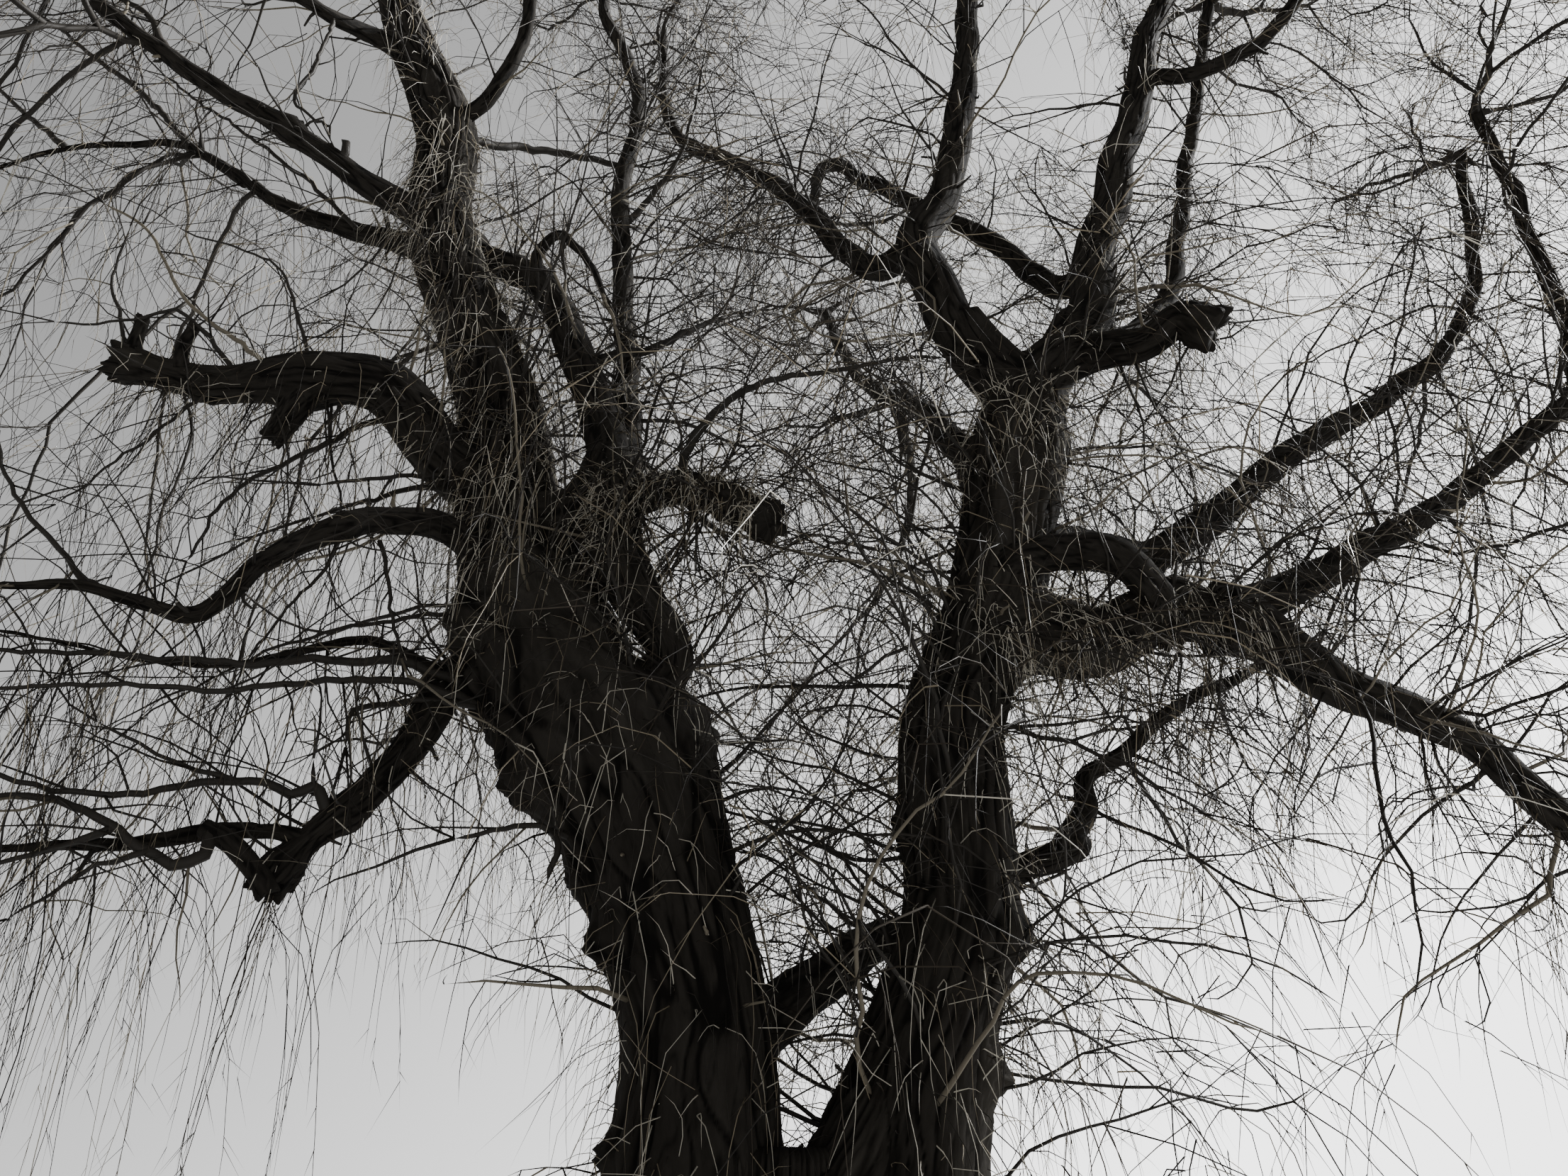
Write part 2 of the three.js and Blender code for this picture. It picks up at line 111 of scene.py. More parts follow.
def curve_through(points, spacing):
    """A smooth line through points, and how far along it, counted in points, each place is."""
    points = np.asarray(points, float)
    ends = [2 * points[0] - points[1], *points, 2 * points[-1] - points[-2]]
    line = []
    share = []
    for i in range(len(points) - 1):
        a, b, c, d = ends[i:i + 4]
        gaps = [np.linalg.norm(q - p) for p, q in ((a, b), (b, c), (c, d))]
        times = np.cumsum([0, *(max(gap, 1e-6) ** 0.5 for gap in gaps)])
        steps = max(1, round(np.linalg.norm(c - b) / spacing))
        for t in np.arange(steps) / steps:
            at = times[1] + t * (times[2] - times[1])
            level = [a, b, c, d]
            for width in (1, 2):
                level = [
                    (level[k] * (times[k + width] - at) + level[k + 1] * (at - times[k]))
                    / (times[k + width] - times[k])
                    for k in range(4 - width)
                ]
            line.append(level[0] * (1 - t) + level[1] * t)
            share.append(i + t)
    line.append(points[-1])
    share.append(len(points) - 1)
    return np.array(line), np.array(share)


def length_along(line):
    """How far along a line each of its places is."""
    return np.concatenate([[0], np.cumsum(np.linalg.norm(np.diff(line, axis=0), axis=1))])


def spokes(angle, first, second):
    """Ways out from a line at angles between its two sides."""
    return np.cos(angle)[..., None] * first + np.sin(angle)[..., None] * second


def bump_at(places, middle, width):
    """A smooth bump, 1 at its middle and near 0 at twice its width from there."""
    return np.exp(-((places - middle) / width) ** 2)


def frames_along(line):
    """Way, side and other side at each place of a line, turned as little as can be."""
    ways = unit(np.gradient(line, axis=0))
    side = np.cross(ways[0], UP + 0.01)
    sides = []
    for way in ways:
        side = side - way * side.dot(way)
        side = side / np.linalg.norm(side)
        sides.append(side)
    sides = np.array(sides)
    return ways, sides, np.cross(ways, sides)


def place_in_scene(name, data):
    thing = bpy.data.objects.new(name, data)
    bpy.context.scene.collection.objects.link(thing)
    return thing


def mesh_piece(name, corners, quads, triangles, materials, slot, shades=None, **layers):
    """A smooth mesh object with its materials and values at its corners, riding on the tree."""
    mesh = bpy.data.meshes.new(name)
    sizes = np.concatenate([np.full(len(quads), 4), np.full(len(triangles), 3)]).astype(np.int32)
    loops = np.concatenate([np.ravel(quads), np.ravel(triangles)]).astype(np.int32)
    mesh.vertices.add(len(corners))
    mesh.vertices.foreach_set("co", np.ravel(corners).astype(np.float32))
    mesh.loops.add(len(loops))
    mesh.loops.foreach_set("vertex_index", loops)
    mesh.polygons.add(len(sizes))
    mesh.polygons.foreach_set("loop_start", (np.cumsum(sizes) - sizes).astype(np.int32))
    mesh.polygons.foreach_set("use_smooth", np.ones(len(sizes), bool))
    for material in materials:
        mesh.materials.append(material)
    if shades is not None:
        mesh.polygons.foreach_set("material_index", shades.astype(np.int32))
    for layer, values in layers.items():
        kind, field = ("FLOAT_VECTOR", "vector") if np.ndim(values) == 2 else ("FLOAT", "value")
        attribute = mesh.attributes.new(layer, kind, "POINT")
        attribute.data.foreach_set(field, np.ravel(values).astype(np.float32))
    mesh.update(calc_edges=True)
    piece = place_in_scene(name, mesh)
    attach(piece, "root")
    return piece


# Materials

BLACK = (0, 0, 0)
WHITE = (1, 1, 1)
# Numbers of a colour mix node's inputs and output
FIRST_COLOUR = 6
SECOND_COLOUR = 7
MIXED_COLOUR = 2


def node_material(name):
    material = bpy.data.materials.new(name)
    material.use_nodes = True
    return material, material.node_tree, material.node_tree.nodes["Principled BSDF"]


def add_node(tree, kind, inputs=None, **settings):
    """A shader node with its settings, and values for its inputs."""
    node = tree.nodes.new("ShaderNode" + kind)
    for setting, value in settings.items():
        setattr(node, setting, value)
    for socket, value in (inputs or {}).items():
        node.inputs[socket].default_value = value
    return node


def add_ramp(tree, source, *stops):
    """A colour that runs from one stop to another as its source grows."""
    ramp = add_node(tree, "ValToRGB")
    for element, (position, colour) in zip(ramp.color_ramp.elements, stops):
        element.position = position
        element.color = (*colour, 1)
    tree.links.new(source, ramp.inputs["Fac"])
    return ramp.outputs["Color"]


def bark_material(name, furrow, ridge, worn, grain):
    """Dry bark: grey on its ridges and patchy, with painted shade in its furrows and in the cracks along the
    limb.
    """
    material, tree, shader = node_material(name)
    link = tree.links.new
    place = add_node(tree, "Attribute", attribute_name="bark")
    stretch = add_node(tree, "Mapping", {"Scale": (grain, grain, grain * 0.22)})
    link(place.outputs["Vector"], stretch.inputs["Vector"])
    relief = add_node(tree, "Attribute", attribute_name="relief")
    # The relief sets the colour: near black in the furrows, which is painted shade, and grey-brown on the
    # ridges
    furrow_shade_colour = add_ramp(tree, relief.outputs["Fac"], (0.25, furrow), (0.8, ridge))
    patches = add_node(tree, "TexNoise", {"Scale": 0.16, "Detail": 4})
    link(stretch.outputs["Vector"], patches.inputs["Vector"])
    blend = add_node(tree, "Mix", data_type="RGBA")
    link(add_ramp(tree, patches.outputs["Fac"], (0.52, BLACK), (0.68, WHITE)), blend.inputs["Factor"])
    link(furrow_shade_colour, blend.inputs[FIRST_COLOUR])
    blend.inputs[SECOND_COLOUR].default_value = (*worn, 1)
    fine = add_node(tree, "TexNoise", {"Scale": 1.0, "Detail": 6, "Roughness": 0.62})
    link(stretch.outputs["Vector"], fine.inputs["Vector"])
    # The fine noise sets the bump, and where it is low the colour is darkened: painted shade in the cracks
    crack_shading = add_node(tree, "Mix", {"Factor": 0.75}, data_type="RGBA", blend_type="MULTIPLY")
    link(blend.outputs[MIXED_COLOUR], crack_shading.inputs[FIRST_COLOUR])
    crack_shade_colour = add_ramp(tree, fine.outputs["Fac"], (0.34, (0.35, 0.33, 0.31)), (0.66, WHITE))
    link(crack_shade_colour, crack_shading.inputs[SECOND_COLOUR])
    link(crack_shading.outputs[MIXED_COLOUR], shader.inputs["Base Color"])
    bump = add_node(tree, "Bump", {"Strength": 0.9, "Distance": 0.012})
    link(fine.outputs["Fac"], bump.inputs["Height"])
    link(bump.outputs["Normal"], shader.inputs["Normal"])
    shader.inputs["Roughness"].default_value = 0.9
    shader.inputs["Specular IOR Level"].default_value = 0.18
    return material


def twig_material(name, colour, roughness=(0.5, 0.75), shine=0.35):
    """A thin smooth shoot of one plain colour, a little uneven in its gloss."""
    material, tree, shader = node_material(name)
    shader.inputs["Base Color"].default_value = (*colour, 1)
    spots = add_node(tree, "TexNoise", {"Scale": 40})
    gloss = add_node(tree, "MapRange", {"To Min": roughness[0], "To Max": roughness[1]})
    tree.links.new(spots.outputs["Fac"], gloss.inputs["Value"])
    tree.links.new(gloss.outputs["Result"], shader.inputs["Roughness"])
    shader.inputs["Specular IOR Level"].default_value = shine
    return material


# Bark colours: near black in the furrows as painted shade, and grey-brown on the ridges and paler in worn
# patches, which are the bark's own
RIDGE = (0.036, 0.032, 0.027)
OLD_BARK = bark_material("old_bark", (0.006, 0.005, 0.004), RIDGE, (0.064, 0.058, 0.049), 16)
BOUGH_BARK = bark_material("bough_bark", (0.007, 0.006, 0.005), RIDGE, (0.060, 0.055, 0.046), 26)
BRANCHES = [
    twig_material("branch_bark", (0.030, 0.026, 0.021)),
    twig_material("young_bark", (0.20, 0.175, 0.13)),
]
# Shoots of four plain colours, dark umber to pale straw as willow shoots are. The palest, near white, is also
# a painted highlight of sunlight
SHOOTS = [
    twig_material("shoots_dark", (0.022, 0.018, 0.014)),
    twig_material("shoots_brown", (0.060, 0.048, 0.034)),
    twig_material("shoots_straw", (0.31, 0.26, 0.18), (0.3, 0.5), 0.6),
    twig_material("shoots_pale", (0.74, 0.69, 0.58), (0.25, 0.45), 0.8),
]
# Shares of the four kinds of shoot, and of young bark among the thin branches. The bark shoots' big share of
# the palest kind paints them as sunlit
HANGING_SHARES = [0.57, 0.27, 0.10, 0.06]
SUNLIT_BARK_SHOOT_SHARES = [0.12, 0.16, 0.24, 0.48]
YOUNG_SHARE = 0.14


# The CAD limbs' rings

def corners_and_faces(name):
    """Corners of a CAD node, each once, and its triangles."""
    mesh = NODES[name].data
    places = np.empty(len(mesh.vertices) * 3)
    mesh.vertices.foreach_get("co", places)
    places = places.reshape(-1, 3)
    indices = np.empty(len(mesh.loops), int)
    mesh.loops.foreach_get("vertex_index", indices)
    _, first, same = np.unique(np.round(places, 5), axis=0, return_index=True, return_inverse=True)
    return places[first], same.reshape(-1)[indices].reshape(-1, 3)


def limb_rings(name):
    """Centres and radii of a limb's rings from its foot to its tip. The rings are counted from the
    middle of the flat tip, and the foot is bent down into the limb that carries it."""
    places, faces = corners_and_faces(name)
    first, second, third = (places[faces[:, corner]] for corner in range(3))
    normals = unit(np.cross(second - first, third - first))
    near = [set() for _ in places]
    round_it = [[] for _ in places]
    for face, (a, b, c) in enumerate(faces):
        for corner in (a, b, c):
            near[corner] |= {a, b, c} - {corner}
            round_it[corner].append(face)
    flat = [
        i for i in range(len(places))
        if len(round_it[i]) == len(near[i]) and 5 < len(near[i]) < 11
        and (normals[round_it[i]] @ normals[round_it[i][0]]).min() > 0.9999
        and np.ptp(np.linalg.norm(places[list(near[i])] - places[i], axis=1)) < 1e-3
    ]
    tip = min(flat, key=lambda i: np.linalg.norm(places[list(near[i])] - places[i], axis=1).mean())
    ring = near[tip]
    seen = {tip}
    rings = []
    while len(ring) == len(near[tip]):
        rings.append(places[list(ring)])
        seen |= ring
        ring = set().union(*(near[i] for i in ring)) - seen
    centres = [part.mean(axis=0) for part in rings][::-1]
    radii = [np.linalg.norm(part - part.mean(axis=0), axis=1).mean() for part in rings][::-1]
    cut = places[list(ring)].mean(axis=0)
    if np.linalg.norm(cut - centres[0]) > radii[0] * 0.6:
        centres.insert(0, cut)
        radii.insert(0, radii[0] * 1.06)
    if limb_lines:
        foot = foot_in_carrier(centres[0], radii[0])
    else:
        foot = centres[0] + DOWN * 0.8
    return [foot, *centres], [radii[0] * 1.1, *radii]


def foot_in_carrier(place, radius):
    """The place on the heart line of the nearest limb where a limb that leaves it there starts."""
    def clear_of(limb):
        line, girth = limb
        return (np.linalg.norm(line - place, axis=1) - girth).min()

    line = min(limb_lines.values(), key=clear_of)[0]
    at = np.linalg.norm(line - place, axis=1).argmin()
    back = max(0, at - int(radius * 0.9 / np.linalg.norm(line[1] - line[0])))
    return line[back]


# Bark skins

BURLS = {
    "left_leader": [
        ((-1.62, -0.28, 4.05), 0.30, 0.15), ((-1.35, -0.30, 3.72), 0.22, 0.10),
        ((-1.66, -0.15, 4.42), 0.22, 0.12), ((-1.22, -0.20, 3.52), 0.15, 0.13),
        ((-0.87, -0.14, 2.76), 0.10, 0.11), ((-1.98, -0.1, 5.2), 0.2, 0.08),
        ((-0.72, -0.10, 1.92), 0.08, 0.08), ((-1.0, -0.12, 3.05), 0.12, 0.06),
        ((-0.47, -0.02, 3.84), 0.26, 0.10), ((-0.86, -0.05, 4.30), 0.24, -0.17),
    ],
    "right_leader": [((1.06, -0.10, 2.82), 0.11, 0.09), ((0.88, -0.10, 2.23), 0.10, 0.08),
                     ((1.35, -0.1, 3.62), 0.15, 0.05), ((0.62, -0.22, 4.3), 0.12, 0.05),
                     ((0.80, -0.08, 2.04), 0.07, 0.06), ((0.58, -0.05, 3.35), 0.12, 0.05)],
    "cut_stub_left": [((-2.72, -0.42, 5.72), 0.16, 0.13), ((-3.25, -0.47, 5.72), 0.1, 0.06),
                      ((-3.7, -0.5, 5.88), 0.1, 0.05)],
    "low_bough": [((-1.90, -0.60, 3.22), 0.09, 0.04), ((-2.1, -0.72, 2.95), 0.08, 0.05)],
    "arched_bough": [((-2.2, -0.62, 4.72), 0.07, 0.05)],
    "hooked_stub": [((2.42, -0.5, 6.2), 0.13, 0.06)],
    "shaggy_stub": [((-0.3, -0.5, 4.93), 0.1, 0.06), ((-0.1, -0.55, 4.8), 0.09, 0.05)],
    "upper_left_bough": [((-3.3, -0.33, 8.12), 0.1, 0.06)],
    "loop_bough": [((-1.1, 0.05, 5.9), 0.12, 0.05), ((-1.9, 0.45, 7.62), 0.1, 0.03)],
    "right_bough": [((2.1, 0, 4.75), 0.14, 0.06), ((1.72, -0.1, 4.3), 0.12, 0.05)],
}
skins = {}


def relief_on(angle, along, girth, spacing, seed):
    """Bark height in metres, and its share from furrow to ridge, on a grid of angle and length."""
    around = np.stack([np.cos(angle) * girth, np.sin(angle) * girth, along], axis=-1).reshape(-1, 3)
    warp = gradient_noise(around / (spacing * 3) * (1, 1, 0.5), seed)[:, None] * spacing * 0.5
    cell = (around + warp * (1, 1, 0)) / spacing * (1, 1, 0.13)
    deep = np.abs(gradient_noise(cell, seed + 1))
    thin = np.abs(gradient_noise(cell * (1.9, 1.9, 1.5) + 7, seed + 2))
    height = np.clip(deep / 0.24, 0, 1) ** 0.8 * (0.5 + 0.5 * np.clip(thin / 0.22, 0, 1))
    rough = gradient_noise(around / spacing * (2.2, 2.2, 0.9), seed + 3)
    depth = np.clip(girth * 0.075, 0.004, 0.026)
    swell = gradient_noise(around / (girth * 2.2) * (1, 1, 0.45), seed + 4) * girth * 0.15
    shape = angle.shape
    out = depth * (height - 0.6) + depth * 0.22 * rough + swell
    return out.reshape(shape), np.clip(height + 0.12 * rough, 0, 1).reshape(shape), around


def skin_grid(line, radii, around, spacing, seed, burls=()):
    """Places of a bark skin on a grid of rings, with the relief and the place on the bark."""
    ways, sides, others = frames_along(line)
    girth = float(np.mean(radii))
    count = int(np.clip(round(2 * math.pi * max(radii) / around), 10, 230))
    angle = np.broadcast_to(np.arange(count) / count * 2 * math.pi, (len(line), count))
    along = np.broadcast_to(length_along(line)[:, None], angle.shape)
    radius = np.broadcast_to(np.asarray(radii)[:, None], angle.shape)
    out, relief, bark = relief_on(angle, along, girth, spacing, seed)
    ray = spokes(angle, sides[:, None], others[:, None])
    places = line[:, None] + ray * (radius + out)[..., None]
    for centre, size, rise in burls:
        centre = np.array(centre)
        distance = np.linalg.norm(places - centre, axis=-1)
        lumpy = 1 + 0.5 * gradient_noise(places.reshape(-1, 3) / (size * 0.35), seed + 9).reshape(angle.shape)
        places = places + ray * (rise * bump_at(distance, 0, size) * lumpy)[..., None]
    return places, relief, bark, ways


# Rings past a skin's last one, as shares of its radius: how wide they are, and how far past it
BLUNT_STEPS = [(0.985, 0.10), (0.9, 0.16), (0.6, 0.15), (0.3, 0.12)]
ROUND_STEPS = [(0.9, 0.35), (0.62, 0.7), (0.3, 0.92)]


def close_ends(places, ways, blunt):
    """Rings that round a skin's tip off, and one place in the middle of each end."""
    last = places[-1]
    middle = last.mean(axis=0)
    reach = np.linalg.norm(last - middle, axis=1).mean()
    steps = BLUNT_STEPS if blunt else ROUND_STEPS
    rings = [middle + (last - middle) * share + ways[-1] * reach * rise for share, rise in steps]
    tip = middle + ways[-1] * reach * (steps[-1][1] - 0.02 if blunt else 1.0)
    return np.array(rings), places[0].mean(axis=0), tip


def skin_piece(name, places, relief, bark, ways, material, blunt):
    """A limb's skin, closed at its ends, in the place of the CAD node of that name."""
    rings, foot, tip = close_ends(places, ways, blunt)
    count = places.shape[1]
    grid = np.concatenate([places, rings])
    total = len(grid) * count
    index = np.arange(total).reshape(len(grid), count)
    after = np.roll(index, -1, axis=1)
    quads = np.stack([index[:-1], after[:-1], after[1:], index[1:]], axis=-1).reshape(-1, 4)
    foot_fan = np.stack([after[0], index[0], np.full(count, total)], axis=-1)
    tip_fan = np.stack([index[-1], after[-1], np.full(count, total + 1)], axis=-1)
    extra = len(rings) * count + 2
    relief = np.concatenate([relief.ravel(), np.full(extra, 0.55)])
    bark = np.concatenate([bark, np.tile(bark[-count:] * 1.03, (len(rings), 1)), bark[:1], bark[-1:]])
    corners = np.concatenate([grid.reshape(-1, 3), [foot, tip]])
    fans = np.concatenate([foot_fan, tip_fan])
    slot = SLOTS.get(name, "bough_bark")
    piece = mesh_piece(name + "_bark", corners, quads, fans, [material], slot, relief=relief, bark=bark)
    if name in NODES:
        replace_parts(piece, name)
    skins[name] = {"places": places, "ways": ways, "line": places.mean(axis=1)}


def crooked(line, girth, seed):
    """A limb's heart line, bent a little to and fro from some way past its foot."""
    reach = length_along(line)
    wide = float(np.mean(girth))
    at = np.stack([reach / (wide * 5), np.full(len(reach), 0.37), np.full(len(reach), 0.61)], axis=-1)
    bend = np.stack([gradient_noise(at + 10 * axis, seed + axis) for axis in range(3)], axis=-1)
    return line + bend * (np.clip(reach / (wide * 5), 0, 1) * wide * 0.42)[:, None]


def ragged(places, ways, girth, seed):
    """A cut end, split and knobbly, on the last rings of a skin."""
    count = places.shape[1]
    rings = 7
    angle = np.arange(count) / count * 2 * math.pi
    for i in range(rings):
        at = i - rings
        grown = ((i + 1) / rings) ** 2
        middle = places[at].mean(axis=0)
        round_it = np.stack([np.cos(angle) * 2.1, np.sin(angle) * 2.1, np.full(count, i * 0.35)], axis=-1)
        lumps = gradient_noise(round_it, seed)
        splits = gradient_noise(round_it * 2.7, seed + 1)
        ray = places[at] - middle
        places[at] = places[at] + ray * (0.10 + 0.4 * lumps + 0.2 * splits)[:, None] * grown
        places[at] += ways[at] * (girth * (0.5 * lumps + 0.45 * splits) * grown)[:, None]
    return places


# Limbs that end in a cut or a break
CUT_ENDS = {"cut_stub_left", "hooked_stub", "shaggy_stub", "low_bough"}
# The leaders: how fine their skin is, and how far apart their ridges are
GRAIN = {"left_leader": (0.0144, 0.075), "right_leader": (0.0115, 0.07)}
FINE = 0.015
# How far a leader's foot goes on down into the trunk, the height from which down it narrows there,
# over how much height, and by what share
FOOT_DEPTH = 0.9
NARROW_FROM = 1.75
NARROW_OVER = 0.7
NARROWED = 0.24
# How much wider any other limb's foot is, and over how many of its radii
FLARE = 0.22
FLARE_REACH = 1.6
# The end of the right leader, where it narrows between the stems that leave it
END_LENGTH = 0.4
END_NARROWED = 0.3
# Limbs that leave a small gap: how they are bent aside, the axis that the places after it are on,
# the bend's middle and width, then the share that they are thinned by, its middle and width
GAPS = {
    "twin_stem": ((0.16, 0.0, -0.02), 2, 4.20, 0.26, 0.28, 4.30, 0.35),
    "low_bough_fork": ((0.0, 0.0, 0.075), 0, -2.12, 0.10, 0.32, -2.18, 0.15),
}
limb_lines = {}
for number, name in enumerate(LIMBS):
    centres, radii = limb_rings(name)
    if name in GRAIN:
        centres[0] = centres[1] + unit(centres[1] - centres[2]) * FOOT_DEPTH
        radii[0] = radii[1] * 1.2
    around, spacing = GRAIN.get(name, (FINE, float(np.clip(0.35 * radii[1], 0.022, 0.05))))
    line, share = curve_through(centres, 0.024 if name in GRAIN else 0.03)
    girth = np.interp(share, range(len(radii)), radii)
    reach = length_along(line)
    if name not in GRAIN:
        girth = girth * (1 + FLARE * np.exp(-reach / (FLARE_REACH * girth[0])))
        line = crooked(line, girth, 300 + 10 * number)
    if name == "right_leader":
        girth = girth * (1 - END_NARROWED * np.clip((reach - reach[-1] + END_LENGTH) / END_LENGTH, 0, 1))
    if name in GRAIN:
        girth = girth * (1 - NARROWED * np.clip((NARROW_FROM - line[:, 2]) / NARROW_OVER, 0, 1))
    if name in GAPS:
        bend, axis, bend_middle, bend_width, thinned, thin_middle, thin_width = GAPS[name]
        line = line + bump_at(line[:, axis], bend_middle, bend_width)[:, None] * bend
        girth = girth * (1 - thinned * bump_at(line[:, axis], thin_middle, thin_width))
    limb_lines[name] = (line, girth)
    burls = BURLS.get(name, ())
    places, relief, bark, ways = skin_grid(line, girth, around, spacing, 100 + 10 * number, burls)
    if name in CUT_ENDS:
        places = ragged(places, ways, girth[-1], 500 + number)
    material = OLD_BARK if SLOTS[name] == "bark" else BOUGH_BARK
    skin_piece(name, places, relief, bark, ways, material, name in CUT_ENDS or name == "right_leader")


# The trunk's skin: the height of its top, its rings, and how many places each ring has
TRUNK_TOP = 1.86
TRUNK_RINGS = 86
TRUNK_PLACES = 300
# About its mean radius, and how far apart its ridges are
TRUNK_GIRTH = 0.68
TRUNK_SPACING = 0.08
# The height from which up it is drawn in to the leaders, and over how much height
DRAWN_FROM = 0.95
DRAWN_OVER = 0.9
# The lowest height at which the leaders' outline is taken, and its least radius
LEADERS_FROM = 1.7
LEADERS_LEAST = 0.30


def trunk_skin():
    """The trunk's bark: its outline is the CAD's, drawn in to the two leaders under the fork."""
    places, faces = corners_and_faces("trunk")
    solid = BVHTree.FromPolygons(places.tolist(), faces.tolist())
    heights = np.linspace(0, TRUNK_TOP, TRUNK_RINGS)
    count = TRUNK_PLACES
    angle = np.broadcast_to(np.arange(count) / count * 2 * math.pi, (len(heights), count))
    east, north = np.eye(3)[:2]
    rays = spokes(angle[0], east, north)
    radius = np.empty(angle.shape)
    for i, height in enumerate(heights):
        level = max(height, 0.004)
        for j, ray in enumerate(rays):
            radius[i, j] = solid.ray_cast(Vector((0, 0, level)), Vector(ray))[3]
    leaders = np.full(angle.shape, LEADERS_LEAST)
    for name in ("left_leader", "right_leader"):
        line, girth = limb_lines[name]
        for i, height in enumerate(heights):
            level = max(height, LEADERS_FROM)
            at = np.array([np.interp(level, line[:, 2], line[:, axis]) for axis in (0, 1)])
            size = np.interp(level, line[:, 2], girth) * 0.97
            inward = rays[:, :2] @ at
            rest = size ** 2 - (at @ at - inward ** 2)
            reach = np.where(rest > 0, inward + np.sqrt(np.maximum(rest, 0)), 0)
            leaders[i] = np.maximum(leaders[i], reach)
    drawn = np.clip((heights - DRAWN_FROM) / DRAWN_OVER, 0, 1)[:, None]
    drawn = drawn * drawn * (3 - 2 * drawn)
    radius = radius * (1 - drawn) + leaders * drawn
    window = np.hanning(31)
    window /= window.sum()
    radius = np.array([np.convolve(np.tile(row, 3), window, "same")[count:2 * count] for row in radius])
    along = np.broadcast_to(heights[:, None], angle.shape)
    out, relief, bark = relief_on(angle, along, TRUNK_GIRTH, TRUNK_SPACING, 40)
    round_it = np.stack([np.cos(angle) * 2.2, np.sin(angle) * 2.2, along * 0.6], axis=-1)
    roots = gradient_noise(round_it.reshape(-1, 3), 44)
    radius = radius + out + 0.05 * np.exp(-along / 0.5) * roots.reshape(angle.shape)
    flat = np.stack([np.cos(angle) * radius, np.sin(angle) * radius, along], axis=-1)
    ways = np.tile(UP, (len(heights), 1))
    skin_piece("trunk", flat, relief, bark, ways, OLD_BARK, True)


trunk_skin()


# Saddles: the rounded wood between two stems that fork
SADDLES = {
    "fork": ([(-0.42, 0.0, 2.42), (-0.37, 0.0, 2.02), (-0.18, 0.0, 1.67), (0.10, 0.0, 1.58),
              (0.32, 0.0, 1.68), (0.49, 0.0, 2.00), (0.62, 0.0, 2.35)],
             (0.27, 0.29, 0.31, 0.36, 0.32, 0.28, 0.24)),
    "loop_fork": ([(-1.52, 0.06, 5.16), (-1.32, 0.03, 5.14), (-1.15, 0.0, 5.17), (-1.05, 0.0, 5.36),
                   (-1.02, 0.0, 5.58)], (0.19, 0.20, 0.20, 0.17, 0.13)),
    "twin_web": ([(-1.10, 0.0, 4.46), (-1.13, 0.0, 4.80), (-1.16, 0.0, 5.14)], (0.12, 0.16, 0.17)),
    "right_fork": ([(1.16, 0.04, 6.72), (1.27, 0.02, 6.42), (1.46, 0.0, 6.14), (1.72, 0.02, 6.38),
                    (1.84, 0.03, 6.66)], (0.12, 0.15, 0.19, 0.16, 0.13)),
}
for name, (points, radii) in SADDLES.items():
    line, share = curve_through(points, 0.025)
    girth = np.interp(share, range(len(radii)), radii)
    places, relief, bark, ways = skin_grid(line, girth, around=0.0115, spacing=0.07, seed=700)
    skin_piece(name, places, relief, bark, ways, OLD_BARK, False)


# Inside the twig masses

SOLIDS = {}
for name in MASSES:
    places, faces = corners_and_faces(name)
    solid = BVHTree.FromPolygons(places.tolist(), faces.tolist())
    SOLIDS[name] = (places.min(axis=0), places.max(axis=0), solid)


def mass_at(points):
    """The number of the mass that holds each point, or -1."""
    found = np.full(len(points), -1)
    for number, name in enumerate(MASSES):
        low, high, solid = SOLIDS[name]
        maybe = (found < 0) & np.all((points > low) & (points < high), axis=1)
        for i in np.flatnonzero(maybe):
            normal = solid.ray_cast(Vector(points[i]), Vector(UP))[1]
            if normal is not None and normal.z > 0:
                found[i] = number
    return found


# Branching rule

# Draws for branches and whips come from this source, but for a Growth's own
rng = np.random.default_rng(7)


def colonise(goals, starts, ways, step, reach, kill, rounds):
    """Branches that grow step by step from their starts towards the goals near them, and divide
    where goals pull apart. Returns the places, each one's parent and its way."""
    places = np.array(starts)
    ways = np.array(ways)
    parents = np.full(len(places), -1)
    far = np.linalg.norm(goals[:, None] - places[None], axis=2)
    nearest = far.argmin(axis=1)
    distance = far.min(axis=1)
    offspring = np.zeros(len(places), int)
    for _ in range(rounds):
        pulled = distance < reach
        if not pulled.any():
            break
        pull = np.zeros(places.shape)
        np.add.at(pull, nearest[pulled], unit(goals[pulled] - places[nearest[pulled]]))
        growing = np.unique(nearest[pulled])
        growing = growing[offspring[growing] < 3]
        if not len(growing):
            break
        offspring[growing] += 1
        stray = rng.normal(scale=0.16, size=(len(growing), 3))
        way = unit(unit(pull[growing]) + 0.45 * ways[growing] + stray)
        added = places[growing] + way * step
        first = len(places)
        places = np.concatenate([places, added])
        ways = np.concatenate([ways, way])
        parents = np.concatenate([parents, growing])
        offspring = np.concatenate([offspring, np.zeros(len(growing), int)])
        far = np.linalg.norm(goals[:, None] - added[None], axis=2)
        closer = far.min(axis=1)
        better = closer < distance
        nearest[better] = far.argmin(axis=1)[better] + first
        distance = np.minimum(distance, closer)
        left = distance > kill
        goals = goals[left]
        nearest = nearest[left]
        distance = distance[left]
        if not len(goals):
            break
    return places, parents, ways


def smoothed(places, parents):
    """Branch places, each drawn towards the middle between its parent and the places after it."""
    later = parents >= 0
    after = np.zeros(places.shape)
    count = np.zeros(len(places))
    np.add.at(after, parents[later], places[later])
    np.add.at(count, parents[later], 1)
    moves = later & (count > 0)
    middle = (places[parents[moves]] + after[moves] / count[moves, None]) / 2
    places = places.copy()
    places[moves] = 0.4 * places[moves] + 0.6 * middle
    return places


